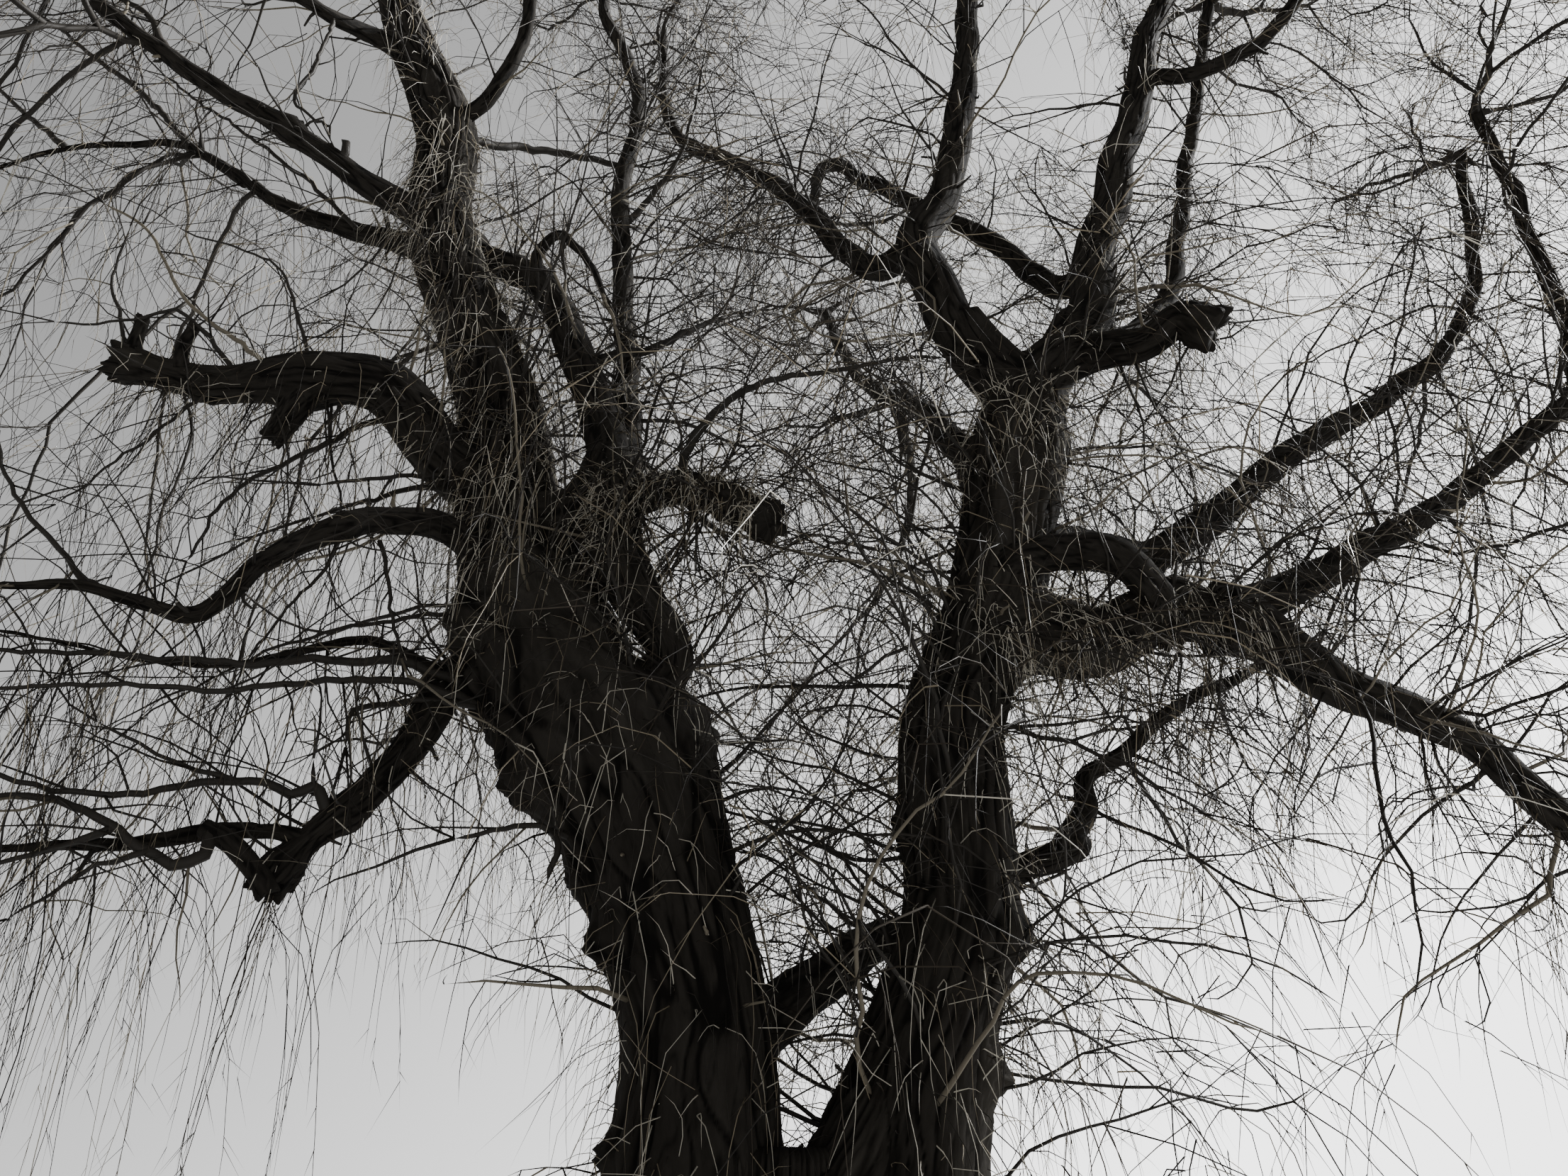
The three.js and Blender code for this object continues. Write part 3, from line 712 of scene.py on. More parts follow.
def thickness(parents, most, main, tip, power):
    """Radius of each branch place: what hangs on it, added up, but no more than its parent's. On
    the main branches it is stretched so that each starts as thick as the limb it goes on from."""
    area = np.zeros(len(parents))
    ends = np.ones(len(parents), bool)
    ends[parents[parents >= 0]] = False
    area[ends] = tip ** power
    for i in range(len(parents) - 1, -1, -1):
        if parents[i] >= 0:
            area[parents[i]] += area[i]
    radius = area ** (1 / power)
    root = np.arange(len(parents))
    stretch = np.ones(len(parents))
    for i in main:
        stretch[i] = max(1, (most[i] - tip) / max(radius[i] - tip, 1e-4))
    for i, parent in enumerate(parents):
        if parent >= 0:
            root[i] = root[parent]
    radius = tip + (radius - tip) * stretch[root]
    for i, parent in enumerate(parents):
        radius[i] = min(radius[i], most[i] if parent < 0 else radius[parent] * 0.97)
    return radius


def chains(parents, radius):
    """Runs of places from where a branch leaves its parent to its end."""
    children = [[] for _ in parents]
    for i, parent in enumerate(parents):
        if parent >= 0:
            children[parent].append(i)
    runs = []
    stack = [(None, i) for i, parent in enumerate(parents) if parent < 0]
    while stack:
        before, at = stack.pop()
        run = [at] if before is None else [before, at]
        while children[at]:
            ordered = sorted(children[at], key=lambda i: -radius[i])
            stack.extend((at, other) for other in ordered[1:])
            at = ordered[0]
            run.append(at)
        if len(run) > 1:
            runs.append(run)
    return runs


class Collected:
    """Corners and triangles of many thin tubes that are joined into one piece."""

    def __init__(self):
        self.corners = []
        self.triangles = []
        self.shades = []
        self.count = 0

    def add(self, corners, triangles, shade):
        self.corners.append(corners)
        self.triangles.append(triangles + self.count)
        self.shades.append(np.full(len(triangles), shade) if np.ndim(shade) == 0 else shade)
        self.count += len(corners)

    def make(self, name, materials, slot):
        corners = np.concatenate(self.corners)
        triangles = np.concatenate(self.triangles)
        shades = np.concatenate(self.shades)
        return mesh_piece(name, corners, np.empty((0, 4)), triangles, materials, slot, shades)


def tube_triangles(rings, sides):
    """Triangles of a closed tube. Its corners are those of its rings, then the middles of its ends."""
    total = rings * sides
    index = np.arange(total).reshape(rings, sides)
    after = np.roll(index, -1, axis=1)
    return np.concatenate([
        np.stack([index[:-1], after[:-1], after[1:]], axis=-1).reshape(-1, 3),
        np.stack([index[:-1], after[1:], index[1:]], axis=-1).reshape(-1, 3),
        np.stack([after[0], index[0], np.full(sides, total)], axis=-1),
        np.stack([index[-1], after[-1], np.full(sides, total + 1)], axis=-1),
    ])


def tube(line, radii, sides):
    """A closed round tube that ends in a point."""
    _, first, second = frames_along(line)
    ray = spokes(np.arange(sides) / sides * 2 * math.pi, first[:-1, None], second[:-1, None])
    rings = line[:-1, None] + ray * np.asarray(radii)[:-1, None, None]
    corners = np.concatenate([rings.reshape(-1, 3), [line[0], line[-1]]])
    return corners, tube_triangles(len(line) - 1, sides)


def add_branch(piece, line, sizes, sides_over, thin):
    """A branch that ends in a point. It has more sides the thicker its foot is, and at times young
    bark if it is thin."""
    sides = next((sides for size, sides in sides_over if sizes[0] > size), 3)
    young = int(sizes[0] < thin and rng.random() < YOUNG_SHARE)
    piece.add(*tube(line, np.append(sizes[:-1], 0), sides), young)


def add_grown(piece, places, parents, radius, sides_over, thin):
    """Every branch of a growth, each from the place where it leaves its parent to its end."""
    for run in chains(parents, radius):
        sizes = radius[run].copy()
        if parents[run[0]] != -1:
            sizes[0] = sizes[1]
        add_branch(piece, places[run], sizes, sides_over, thin)


THIRDS = np.arange(3) / 3 * 2 * math.pi


def whip_lines(starts, ways, lengths, droop, wander, parts):
    """Heart lines of whips: each sets out its way, bends over under its weight, and hangs."""
    way = unit(ways)
    lines = [starts - way * 0.012, starts]
    step = (lengths / parts)[:, None]
    for _ in range(parts):
        way = unit(way + DOWN * droop[:, None] + rng.normal(scale=wander, size=way.shape))
        lines.append(lines[-1] + way * step)
    return np.stack(lines, axis=1)


def whip_tubes(lines, foot, tip):
    """Three-sided closed tubes, pointed at both ends, for many whips of as many places."""
    many, places = lines.shape[:2]
    ways = unit(np.gradient(lines, axis=1))
    across = np.cross(ways[:, 1], DOWN) + 0.003
    first = unit(across[:, None] - ways * np.sum(across[:, None] * ways, axis=-1, keepdims=True))
    second = np.cross(ways, first)
    share = np.linspace(0, 1, places - 2)
    radius = foot[:, None] * (1 - share) + tip * share
    ray = spokes(THIRDS, first[:, 1:-1, None], second[:, 1:-1, None])
    rings = lines[:, 1:-1, None] + ray * radius[:, :, None, None]
    inner = (places - 2) * 3
    corners = np.concatenate([rings.reshape(many, inner, 3), lines[:, :1], lines[:, -1:]], axis=1)
    one = tube_triangles(places - 2, 3)
    every = one[None] + (np.arange(many) * (inner + 2))[:, None, None]
    return corners.reshape(-1, 3), every.reshape(-1, 3), len(one)


def add_whips(piece, lines, foot, tip, shades):
    corners, triangles, each = whip_tubes(lines, foot, tip)
    piece.add(corners, triangles, np.repeat(shades, each))


def add_hairs(piece, lines, foot, each, reach, shades):
    """Short straight side twigs, pointed at both ends, that leave whips at a sharp angle."""
    many, places = lines.shape[:2]
    whip = np.repeat(np.arange(many), each)
    at = rng.uniform(1.3, places - 1.2, len(whip))
    part = at.astype(int)
    share = (at - part)[:, None]
    start = lines[whip, part] * (1 - share) + lines[whip, part + 1] * share
    way = unit(lines[whip, part + 1] - lines[whip, part])
    aside = rng.normal(size=way.shape)
    aside = unit(aside - way * np.sum(aside * way, axis=-1, keepdims=True))
    way = unit(way + aside * rng.uniform(0.4, 0.95, (len(whip), 1)) + DOWN * 0.12)
    length = rng.uniform(*reach, len(whip))[:, None]
    radius = (foot[whip] * 0.62)[:, None, None]
    first = unit(np.cross(way, aside))
    second = np.cross(way, first)
    ray = spokes(THIRDS, first[:, None], second[:, None])
    ends = np.stack([start - way * 0.008, start + way * length], axis=1)
    corners = np.concatenate([start[:, None] + ray * radius, ends], axis=1)
    one = np.array([(0, 1, 4), (1, 2, 4), (2, 0, 4), (1, 0, 3), (2, 1, 3), (0, 2, 3)])
    every = one[None] + (np.arange(len(whip)) * 5)[:, None, None]
    piece.add(corners.reshape(-1, 3), every.reshape(-1, 3), np.repeat(shades[whip], len(one)))


# Branches and whips in the twig masses

GOALS_PER_CUBIC_METRE = 36.0
goals = []
for name in MASSES:
    low, high, _ = SOLIDS[name]
    count = int(np.prod(high - low) * GOALS_PER_CUBIC_METRE)
    goals.append(rng.uniform(low, high, size=(count, 3)))
goals = np.concatenate(goals)
goals = goals[mass_at(goals) >= 0]

starts = []
start_ways = []
start_girths = []
main_starts = []
for name in LIMBS:
    line, girth = limb_lines[name]
    if mass_at(line[-1:] + unit(line[-1:] - line[-3]) * 0.15)[0] >= 0:
        starts.append(line[-1] - unit(line[-1] - line[-3]) * 0.03)
        start_ways.append(unit(line[-1] - line[-3]))
        start_girths.append(girth[-1] * 0.96)
        main_starts.append(len(starts) - 1)
        for back in (25, 50, 75):
            if len(line) > back + 30:
                starts.append(line[-back])
                start_ways.append(unit(line[-1] - line[-back] + rng.normal(scale=0.4, size=3)))
                start_girths.append(girth[-back] * 0.45)
places, parents, ways = colonise(goals, starts, start_ways, step=0.17, reach=1.5, kill=0.28, rounds=150)
places = smoothed(places, parents)
radius = thickness(parents, np.array(start_girths), main_starts, tip=0.0052, power=2.3)

inner = Collected()
add_grown(inner, places, parents, radius, sides_over=[(0.028, 7), (0.014, 5), (0.008, 4)], thin=0.012)

numbers = mass_at(places)
hanging = np.flatnonzero((radius < 0.02) & (numbers >= 0))
WHIPS = 19500
PARTS = 3
WHIP_TIP = 0.0021
# Left of here the photo shows finer twigs
LEFT_PART = -1.2
# How much denser than the others some masses are with twigs
DENSE = {"crown_back": 2.2, "crown_back_left": 1.8, "crown_back_right": 2.2, "curtain_back": 2.4,
         "curtain_back_left": 1.8, "curtain_back_right": 2.6, "crown_top_middle": 2.2, "crown_right": 2.4,
         "curtain_right": 2.2, "crown_far_right": 2.4, "crown_top_left": 1.9, "crown_top_right": 1.9,
         "crown_left": 1.4, "crown_front_left": 1.9, "crown_front": 1.9, "crown_front_right": 1.9,
         "curtain_front_left": 1.6, "curtain_front": 1.6, "curtain_front_right": 1.6, "curtain_far_left": 1.2}
weight = np.array([DENSE.get(name, 1.0) for name in MASSES])[numbers[hanging]]
at = rng.choice(hanging, WHIPS, p=weight / weight.sum())
shift = rng.uniform(0, 0.2, size=(WHIPS, 1))
start = places[at] - ways[at] * shift * (parents[at] >= 0)[:, None]
level = rng.uniform(0.0, 0.6, size=(WHIPS, 1)) * UP
spread = unit(rng.normal(size=(WHIPS, 3)) * (1, 1, 0.25))
outward = unit(start * (1, 1, 0)) * 0.35
way = spread + ways[at] * 0.6 + level + outward
is_curtain = np.array([name.startswith("curtain") for name in MASSES])[numbers[at]]
length = np.where(is_curtain, rng.uniform(1.0, 2.6, WHIPS), rng.uniform(0.45, 1.6, WHIPS))
droop = np.where(is_curtain, rng.uniform(0.5, 1.1, WHIPS), rng.uniform(0.3, 0.8, WHIPS))
lines = whip_lines(start, way, length, droop * 1.2, wander=0.15, parts=PARTS)
flags = mass_at(lines[:, 2:].reshape(-1, 3)).reshape(WHIPS, PARTS) >= 0
kept = np.where(flags.all(axis=1), PARTS, np.argmin(flags, axis=1))
share = np.clip((kept + rng.uniform(0.0, 0.7, WHIPS)) / PARTS, 0, 1)
fine = share > 0.2
for i in np.flatnonzero(fine & (share < 1)):
    tail = lines[i, 1:]
    at_place = np.linspace(0, PARTS * share[i], PARTS + 1)
    cut_back = [np.interp(at_place, range(PARTS + 1), tail[:, axis]) for axis in range(3)]
    lines[i, 1:] = np.stack(cut_back, axis=1)
colour_of_spray = rng.choice(4, size=len(places), p=HANGING_SHARES)
shade = colour_of_spray[at]
foot = rng.uniform(0.0032, 0.0056, WHIPS)
near_left = (start[:, 0] < LEFT_PART) & (start[:, 1] < 2.0)
foot = foot * np.where(start[:, 1] < -4.0, 1.3, np.where(near_left, 0.85, 1.0))
for number, name in enumerate(MASSES):
    mine = fine & (numbers[at] == number)
    piece = Collected()
    add_whips(piece, lines[mine], foot[mine], WHIP_TIP, shade[mine])
    add_hairs(piece, lines[mine], foot[mine], each=2, reach=(0.1, 0.38), shades=shade[mine])
    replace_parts(piece.make(name + "_twigs", SHOOTS, "twigs"), name)


# Branches and shoots on the open limbs

# Branches that the photo shows one by one: their radius at foot and tip, and the places they pass
FREE_BRANCHES = {
    "whorl_top": (0.044, 0.006, (-1.45, 0.0, 4.10), (-1.80, -0.25, 4.12), (-2.06, -0.40, 4.18),
        (-2.69, -0.60, 3.95), (-3.60, -0.80, 4.03)),
    "whorl_middle": (0.029, 0.006, (-1.45, -0.10, 4.02), (-1.95, -0.50, 4.02), (-2.45, -0.80, 3.86),
        (-3.10, -1.05, 3.80), (-3.90, -1.20, 3.74)),
    "whorl_low": (0.024, 0.005, (-1.40, -0.10, 3.92), (-1.85, -0.55, 3.90), (-2.35, -0.95, 3.66),
        (-2.95, -1.25, 3.56), (-3.50, -1.40, 3.42)),
    "whorl_drop": (0.022, 0.009, (-1.50, -0.20, 3.92), (-1.86, -0.42, 3.86), (-2.00, -0.54, 3.73),
        (-1.99, -0.58, 3.53)),
    "straight_left": (0.016, 0.006, (-1.60, -0.15, 4.48), (-2.05, -0.45, 4.27), (-2.54, -0.85, 3.79)),
    "arch": (0.110, 0.088, (1.16, 0.0, 4.50), (1.22, -0.20, 4.74), (1.68, -0.25, 4.81),
        (2.02, -0.10, 4.61), (2.12, 0.02, 4.40)),
    "hook_drop": (0.022, 0.010, (-1.57, 0.08, 7.53), (-1.50, 0.02, 7.46), (-1.46, -0.02, 7.22),
        (-1.42, -0.05, 7.00)),
    "shaggy_sprout": (0.032, 0.010, (-0.56, -0.33, 5.05), (-0.54, -0.34, 5.38), (-0.41, -0.35, 5.62),
        (-0.17, -0.32, 5.88), (0.23, -0.27, 6.04), (0.96, -0.15, 6.25)),
    "stub_sprout": (0.050, 0.032, (-3.66, -0.50, 5.86), (-3.70, -0.52, 6.04), (-3.68, -0.55, 6.20)),
    "stub_sprout_inner": (0.044, 0.030, (-3.40, -0.48, 5.86), (-3.43, -0.50, 6.06), (-3.40, -0.50, 6.18)),
    "stub_spur": (0.105, 0.060, (-2.66, -0.40, 5.86), (-2.74, -0.42, 5.62), (-2.82, -0.44, 5.44)),
    "left_end": (0.044, 0.012, (-4.23, 0.71, 8.80), (-4.54, 0.70, 9.05), (-4.82, 0.69, 9.22),
        (-5.20, 0.62, 9.14), (-5.60, 0.52, 8.96), (-6.10, 0.30, 8.30)),
    "left_end_rising": (0.034, 0.011, (-4.76, 0.69, 9.18), (-4.95, 0.62, 9.43), (-5.54, 0.45, 9.91),
        (-6.30, 0.25, 10.45)),
    "left_end_hook": (0.028, 0.011, (-5.58, 0.52, 8.97), (-5.88, 0.40, 9.19), (-6.38, 0.20, 9.53)),
    "upper_left_arm": (0.034, 0.012, (-4.10, -0.56, 8.48), (-4.27, -0.60, 8.73), (-4.40, -0.62, 8.93),
        (-4.90, -0.70, 9.20)),
    "hanging_hook": (0.018, 0.007, (-3.43, -0.10, 9.69), (-3.40, -0.14, 9.22), (-3.47, -0.18, 8.68),
        (-3.41, -0.20, 8.50), (-3.13, -0.24, 8.23), (-3.08, -0.25, 8.08)),
    "bough_hook": (0.034, 0.024, (-3.04, -0.20, 7.92), (-2.97, -0.24, 7.98), (-2.96, -0.26, 8.06),
        (-3.00, -0.27, 8.10)),
    "under_branch": (0.020, 0.009, (-3.20, 0.60, 8.18), (-3.61, 0.44, 8.54), (-4.23, 0.28, 8.98),
        (-4.74, 0.15, 9.33)),
    "stub_riser": (0.014, 0.006, (-3.72, -0.50, 5.93), (-3.84, -0.55, 6.25), (-3.90, -0.58, 6.43),
        (-3.88, -0.66, 6.81)),
    "stub_riser_low": (0.016, 0.006, (-3.11, -0.46, 5.86), (-3.32, -0.50, 6.12), (-3.49, -0.55, 6.24),
        (-3.68, -0.60, 6.12), (-4.03, -0.70, 6.01)),
    "stub_riser_long": (0.017, 0.006, (-2.91, -0.43, 5.88), (-3.18, -0.45, 6.11), (-3.37, -0.50, 6.23),
        (-3.88, -0.62, 6.90), (-4.06, -0.68, 6.98)),
    "stub_riser_inner": (0.015, 0.005, (-2.71, -0.38, 5.90), (-2.82, -0.40, 6.22), (-3.08, -0.44, 6.71),
        (-3.68, -0.55, 6.93)),
    "stub_droop": (0.012, 0.005, (-3.19, -0.46, 5.76), (-3.42, -0.55, 5.31), (-3.68, -0.66, 4.82)),
    "lit_arc": (0.016, 0.009, (-1.75, 0.0, 5.48), (-2.02, -0.20, 5.35), (-2.26, -0.36, 5.19),
        (-2.46, -0.46, 5.09)),
    "long_arc": (0.024, 0.007, (-1.95, 0.10, 5.90), (-2.39, -0.10, 5.81), (-2.60, -0.33, 5.42),
        (-2.86, -0.56, 4.94), (-2.90, -0.72, 4.46)),
    "low_arc": (0.022, 0.009, (-1.75, 0.05, 5.33), (-2.03, -0.15, 5.30), (-2.22, -0.35, 5.06),
        (-2.45, -0.50, 4.85)),
    "knob_drop": (0.013, 0.008, (-2.03, -0.57, 4.66), (-1.95, -0.58, 4.42), (-1.81, -0.62, 3.98)),
    "arch_drop": (0.013, 0.005, (-2.21, -0.56, 4.76), (-2.30, -0.62, 4.42), (-2.43, -0.80, 3.85)),
    "back_cross": (0.034, 0.024, (-2.40, 0.35, 8.85), (-2.01, 0.70, 9.17), (-1.74, 0.85, 9.28),
        (-1.32, 1.10, 9.42)),
    "back_riser": (0.030, 0.012, (-1.28, 1.00, 8.66), (-1.03, 0.95, 8.97), (-0.86, 0.85, 9.26),
        (-0.71, 0.70, 9.89)),
    "end_brace": (0.041, 0.044, (-2.36, -0.92, 3.06), (-2.26, -0.90, 3.01), (-2.15, -0.82, 2.90),
        (-2.11, -0.78, 2.84)),
    "fork_dip": (0.030, 0.012, (-2.33, -0.92, 3.06), (-2.32, -0.96, 2.93), (-2.41, -1.00, 2.87),
        (-2.53, -1.04, 2.94), (-2.65, -1.08, 3.03), (-2.90, -1.16, 3.11), (-3.14, -1.28, 3.07)),
    "fork_mid": (0.020, 0.007, (-2.62, -1.07, 3.02), (-2.77, -1.13, 2.92), (-3.03, -1.28, 2.77)),
    "fork_low": (0.015, 0.005, (-2.50, -1.03, 2.93), (-2.64, -1.10, 2.85), (-2.84, -1.24, 2.61)),
    "low_rider": (0.028, 0.009, (-1.98, -0.65, 3.20), (-2.05, -0.69, 3.33), (-2.13, -0.73, 3.28),
        (-2.25, -0.78, 3.31), (-2.56, -0.95, 3.22), (-2.85, -1.10, 3.14), (-3.18, -1.25, 3.20)),
    "low_rider_prong": (0.012, 0.008, (-2.05, -0.70, 3.31), (-2.06, -0.71, 3.37), (-2.07, -0.72, 3.43)),
    "low_rider_fork": (0.016, 0.006, (-2.31, -0.83, 3.29), (-2.47, -0.90, 3.31), (-2.82, -1.08, 3.44)),
    "leader_hook": (0.020, 0.010, (-0.95, -0.15, 3.24), (-1.17, -0.33, 3.26), (-1.48, -0.45, 3.17)),
    "leader_hook_drop": (0.018, 0.014, (-1.08, -0.28, 3.26), (-1.04, -0.31, 3.17), (-1.06, -0.33, 3.00)),
    "arch_riser": (0.018, 0.007, (-2.95, -0.97, 4.10), (-3.16, -0.99, 4.20), (-3.39, -1.09, 4.41),
        (-3.56, -1.16, 4.66), (-3.69, -1.26, 4.96)),
}


class Growth:
    """Branches that leave a limb, the smaller ones that leave them, and where whips hang."""

    def __init__(self, rng):
        self.rng = rng
        self.runs = []
        self.hangs = []

    def branch(self, start, way, length, girth, level, droop):
        """One crooked branch: it rises a little, arches over and droops, and smaller ones leave it."""
        rng = self.rng
        steps = max(4, int(length / 0.14))
        stride = length / steps
        way = unit(np.asarray(way, float))
        places = [start]
        for i in range(steps):
            share = i / steps
            lift = UP * 0.07 * (1 - share) + DOWN * droop * share
            way = unit(way + rng.normal(scale=0.15, size=3) + lift)
            places.append(places[-1] + way * stride)
            here = girth * (1 - share * 0.75)
            if here < 0.011 or i > 1:
                self.hangs.append((places[-1], way))
            if level > 0 and i > 0 and rng.random() < 0.42:
                aside = unit(way + rng.normal(scale=0.75, size=3) + UP * 0.15)
                self.branch(places[-1], aside, length * (1 - share * 0.5) * rng.uniform(0.3, 0.62),
                            here * rng.uniform(0.5, 0.72), level - 1, droop * 1.3)
        sizes = girth * (1 - 0.75 * np.linspace(0, 1, steps + 1))
        self.runs.append((bounded(np.array(places)), sizes))


def leave_limb(growth, name, count, reach, girth, lean=(0, 0, 0), low=0.12, high=1.0, droop=0.22, level=1):
    """Side branches that leave a limb's bark between two shares of its length, on the side that it
    leans to."""
    skin = skins[name]
    rings = len(skin["line"])
    made = 0
    while made < count:
        at = int(rings * growth.rng.uniform(low, high)) - 1
        side = growth.rng.integers(skin["places"].shape[1])
        place = skin["places"][at, side]
        outward = unit(place - skin["line"][at])
        if outward @ lean < growth.rng.uniform(-0.2, 0.5) * np.linalg.norm(lean):
            continue
        made += 1
        way = outward + skin["ways"][at] * growth.rng.uniform(-0.1, 0.6) + UP * growth.rng.uniform(-0.1, 0.45)
        size = growth.rng.uniform(*girth)
        growth.branch(place - outward * 0.02, way, growth.rng.uniform(*reach), size, level, droop)


growth = Growth(np.random.default_rng(11))
SIDE_BRANCHES = {
    "left_leader": (38, (0.6, 1.9), (0.006, 0.014)), "right_leader": (40, (0.7, 2.2), (0.007, 0.015)),
    "twin_stem": (7, (0.6, 1.6), (0.006, 0.012)), "loop_bough": (12, (0.6, 1.7), (0.006, 0.013)),
    "long_left_bough": (9, (0.6, 1.8), (0.005, 0.011)), "upper_left_bough": (10, (0.6, 1.8), (0.005, 0.011)),
    "top_left_bough": (8, (0.6, 1.6), (0.006, 0.011)), "inner_left_bough": (9, (0.6, 1.6), (0.006, 0.011)),
    "cut_stub_left": (16, (0.5, 1.7), (0.005, 0.012)), "arched_bough": (14, (0.5, 1.5), (0.004, 0.009)),
    "low_bough": (14, (0.5, 1.4), (0.005, 0.010)), "low_bough_fork": (12, (0.4, 1.0), (0.004, 0.007)),
    "shaggy_stub": (26, (0.3, 1.2), (0.005, 0.010)), "back_stem": (32, (0.7, 2.3), (0.007, 0.014)),
    "inner_right_stem": (28, (0.7, 2.2), (0.007, 0.014)), "long_back_bough": (30, (0.7, 2.1), (0.007, 0.014)),
    "right_stem": (20, (0.6, 2.0), (0.006, 0.013)), "right_upper_bough": (8, (0.6, 1.6), (0.006, 0.011)),
    "hooked_stub": (9, (0.4, 1.3), (0.006, 0.011)), "right_bough": (22, (0.4, 1.6), (0.006, 0.012)),
    "right_bough_end": (20, (0.5, 1.6), (0.006, 0.012)),
    "right_rising_bough": (28, (0.5, 1.7), (0.006, 0.012)),
    "right_far_bough": (26, (0.6, 1.8), (0.006, 0.012)), "crossing_bough": (14, (0.4, 1.4), (0.005, 0.010)),
    "crooked_bough": (14, (0.4, 1.3), (0.004, 0.008)), "rear_bough": (16, (0.6, 1.8), (0.006, 0.012)),
    "rear_stem": (16, (0.6, 1.8), (0.006, 0.012)), "front_left_bough": (4, (0.5, 1.2), (0.005, 0.010)),
    "front_bough": (6, (0.5, 1.4), (0.005, 0.010)), "back_left_bough": (18, (0.6, 1.9), (0.006, 0.012)),
    "back_bough": (22, (0.6, 2.0), (0.006, 0.012)), "back_right_bough": (20, (0.6, 1.9), (0.006, 0.012)),
    "back_curtain_bough": (10, (0.6, 1.7), (0.005, 0.010)), "side_bough": (4, (0.4, 0.9), (0.004, 0.008)),
}
for name, (count, reach, girth) in SIDE_BRANCHES.items():
    leave_limb(growth, name, count, reach, girth)
# More of them where the limbs face each other across the open middle, and over the right boughs
INWARD = [
    ("left_leader", 34, (0.9, 2.3), (0.007, 0.013), (1, 0.5, 0), 0.16, 0.5),
    ("right_leader", 44, (0.9, 2.3), (0.007, 0.013), (-1, 0.3, 0), 0.1, 0.95),
    ("right_leader", 22, (0.8, 2.0), (0.006, 0.012), (1, 0, 0), 0.1, 0.95),
    ("twin_stem", 8, (0.8, 1.8), (0.006, 0.011), (1, 0, 0), 0.2, 1.0),
    ("back_stem", 22, (0.9, 2.2), (0.006, 0.012), (1, 0, 0), 0.1, 0.8),
    ("inner_right_stem", 20, (0.9, 2.0), (0.006, 0.012), (-1, 0, 0), 0.1, 0.9),
    ("long_back_bough", 20, (0.9, 2.0), (0.006, 0.012), (0, 0, -1), 0.1, 0.9),
    ("right_bough", 16, (0.8, 1.8), (0.006, 0.011), (0, 0, 0), 0.1, 1.0),
    ("right_bough_end", 26, (0.7, 1.9), (0.006, 0.011), (0, 0, 0), 0.1, 1.0),
    ("right_rising_bough", 26, (0.7, 1.9), (0.006, 0.011), (0, 0, 0), 0.1, 1.0),
    ("right_far_bough", 26, (0.7, 1.9), (0.006, 0.011), (0, 0, 0), 0.1, 1.0),
    ("right_stem", 20, (0.8, 2.0), (0.006, 0.012), (1, 0, 0), 0.1, 0.9),
    ("crossing_bough", 10, (0.6, 1.4), (0.005, 0.009), (0, 0, 0), 0.1, 1.0),
    ("crooked_bough", 10, (0.6, 1.4), (0.004, 0.008), (0, 0, 0), 0.2, 1.0),
]
for row in INWARD:
    leave_limb(growth, *row)
for name in ("arched_bough", "low_bough_fork", "crooked_bough", "side_bough", "hook_bough"):
    line, girth = limb_lines[name]
    tip_way = unit(line[-1] - line[-4])
    for turn in range(3):
        way = tip_way + growth.rng.normal(scale=0.35 * turn, size=3)
        size = girth[-1] * (0.9 - 0.25 * turn)
        growth.branch(line[-1] - tip_way * 0.03, way, growth.rng.uniform(0.7, 1.4), size, 1, 0.2)

# Branches that fill the open inside of the crown, between the limbs
OPEN_SPACES = [((0.25, 1.3, 6.0), (1.9, 2.0, 3.6), 1900), ((3.6, 0.6, 5.4), (2.7, 1.8, 2.7), 1600),
               ((2.2, 0.3, 3.3), (1.8, 1.3, 1.3), 520), ((-2.6, 1.0, 6.0), (1.4, 1.2, 2.4), 200)]
CARRIERS = ("left_leader", "right_leader", "back_stem", "inner_right_stem", "long_back_bough", "right_stem",
            "loop_bough", "right_bough", "right_bough_end", "right_rising_bough", "right_far_bough",
            "crossing_bough", "crooked_bough", "rear_bough", "rear_stem", "back_bough", "twin_stem")
open_goals = []
for middle, reach, count in OPEN_SPACES:
    ball = unit(rng.normal(size=(count, 3))) * rng.uniform(0, 1, (count, 1)) ** (1 / 3)
    open_goals.append(np.array(middle) + ball * reach)
open_goals = np.concatenate(open_goals)
open_goals = open_goals[mass_at(open_goals) < 0]
open_starts = []
open_ways = []
for name in CARRIERS:
    line, girth = limb_lines[name]
    for at in range(12, len(line) - 6, 14):
        side = unit(rng.normal(size=3))
        open_starts.append(line[at] + side * girth[at] * 0.8)
        open_ways.append(unit(side + (line[at + 1] - line[at]) * 8))
grown = colonise(open_goals, open_starts, open_ways, step=0.16, reach=1.1, kill=0.25, rounds=90)
spots, before, headings = grown
spots = smoothed(spots, before)
size = thickness(before, np.full(len(spots), 0.018), [], tip=0.0050, power=2.2)
open_branches = Collected()
add_grown(open_branches, spots, before, size, sides_over=[(0.012, 5), (0.007, 4)], thin=0.02)
for i in np.flatnonzero((before >= 0) & (size < 0.012)):
    growth.hangs.append((spots[i], headings[i]))

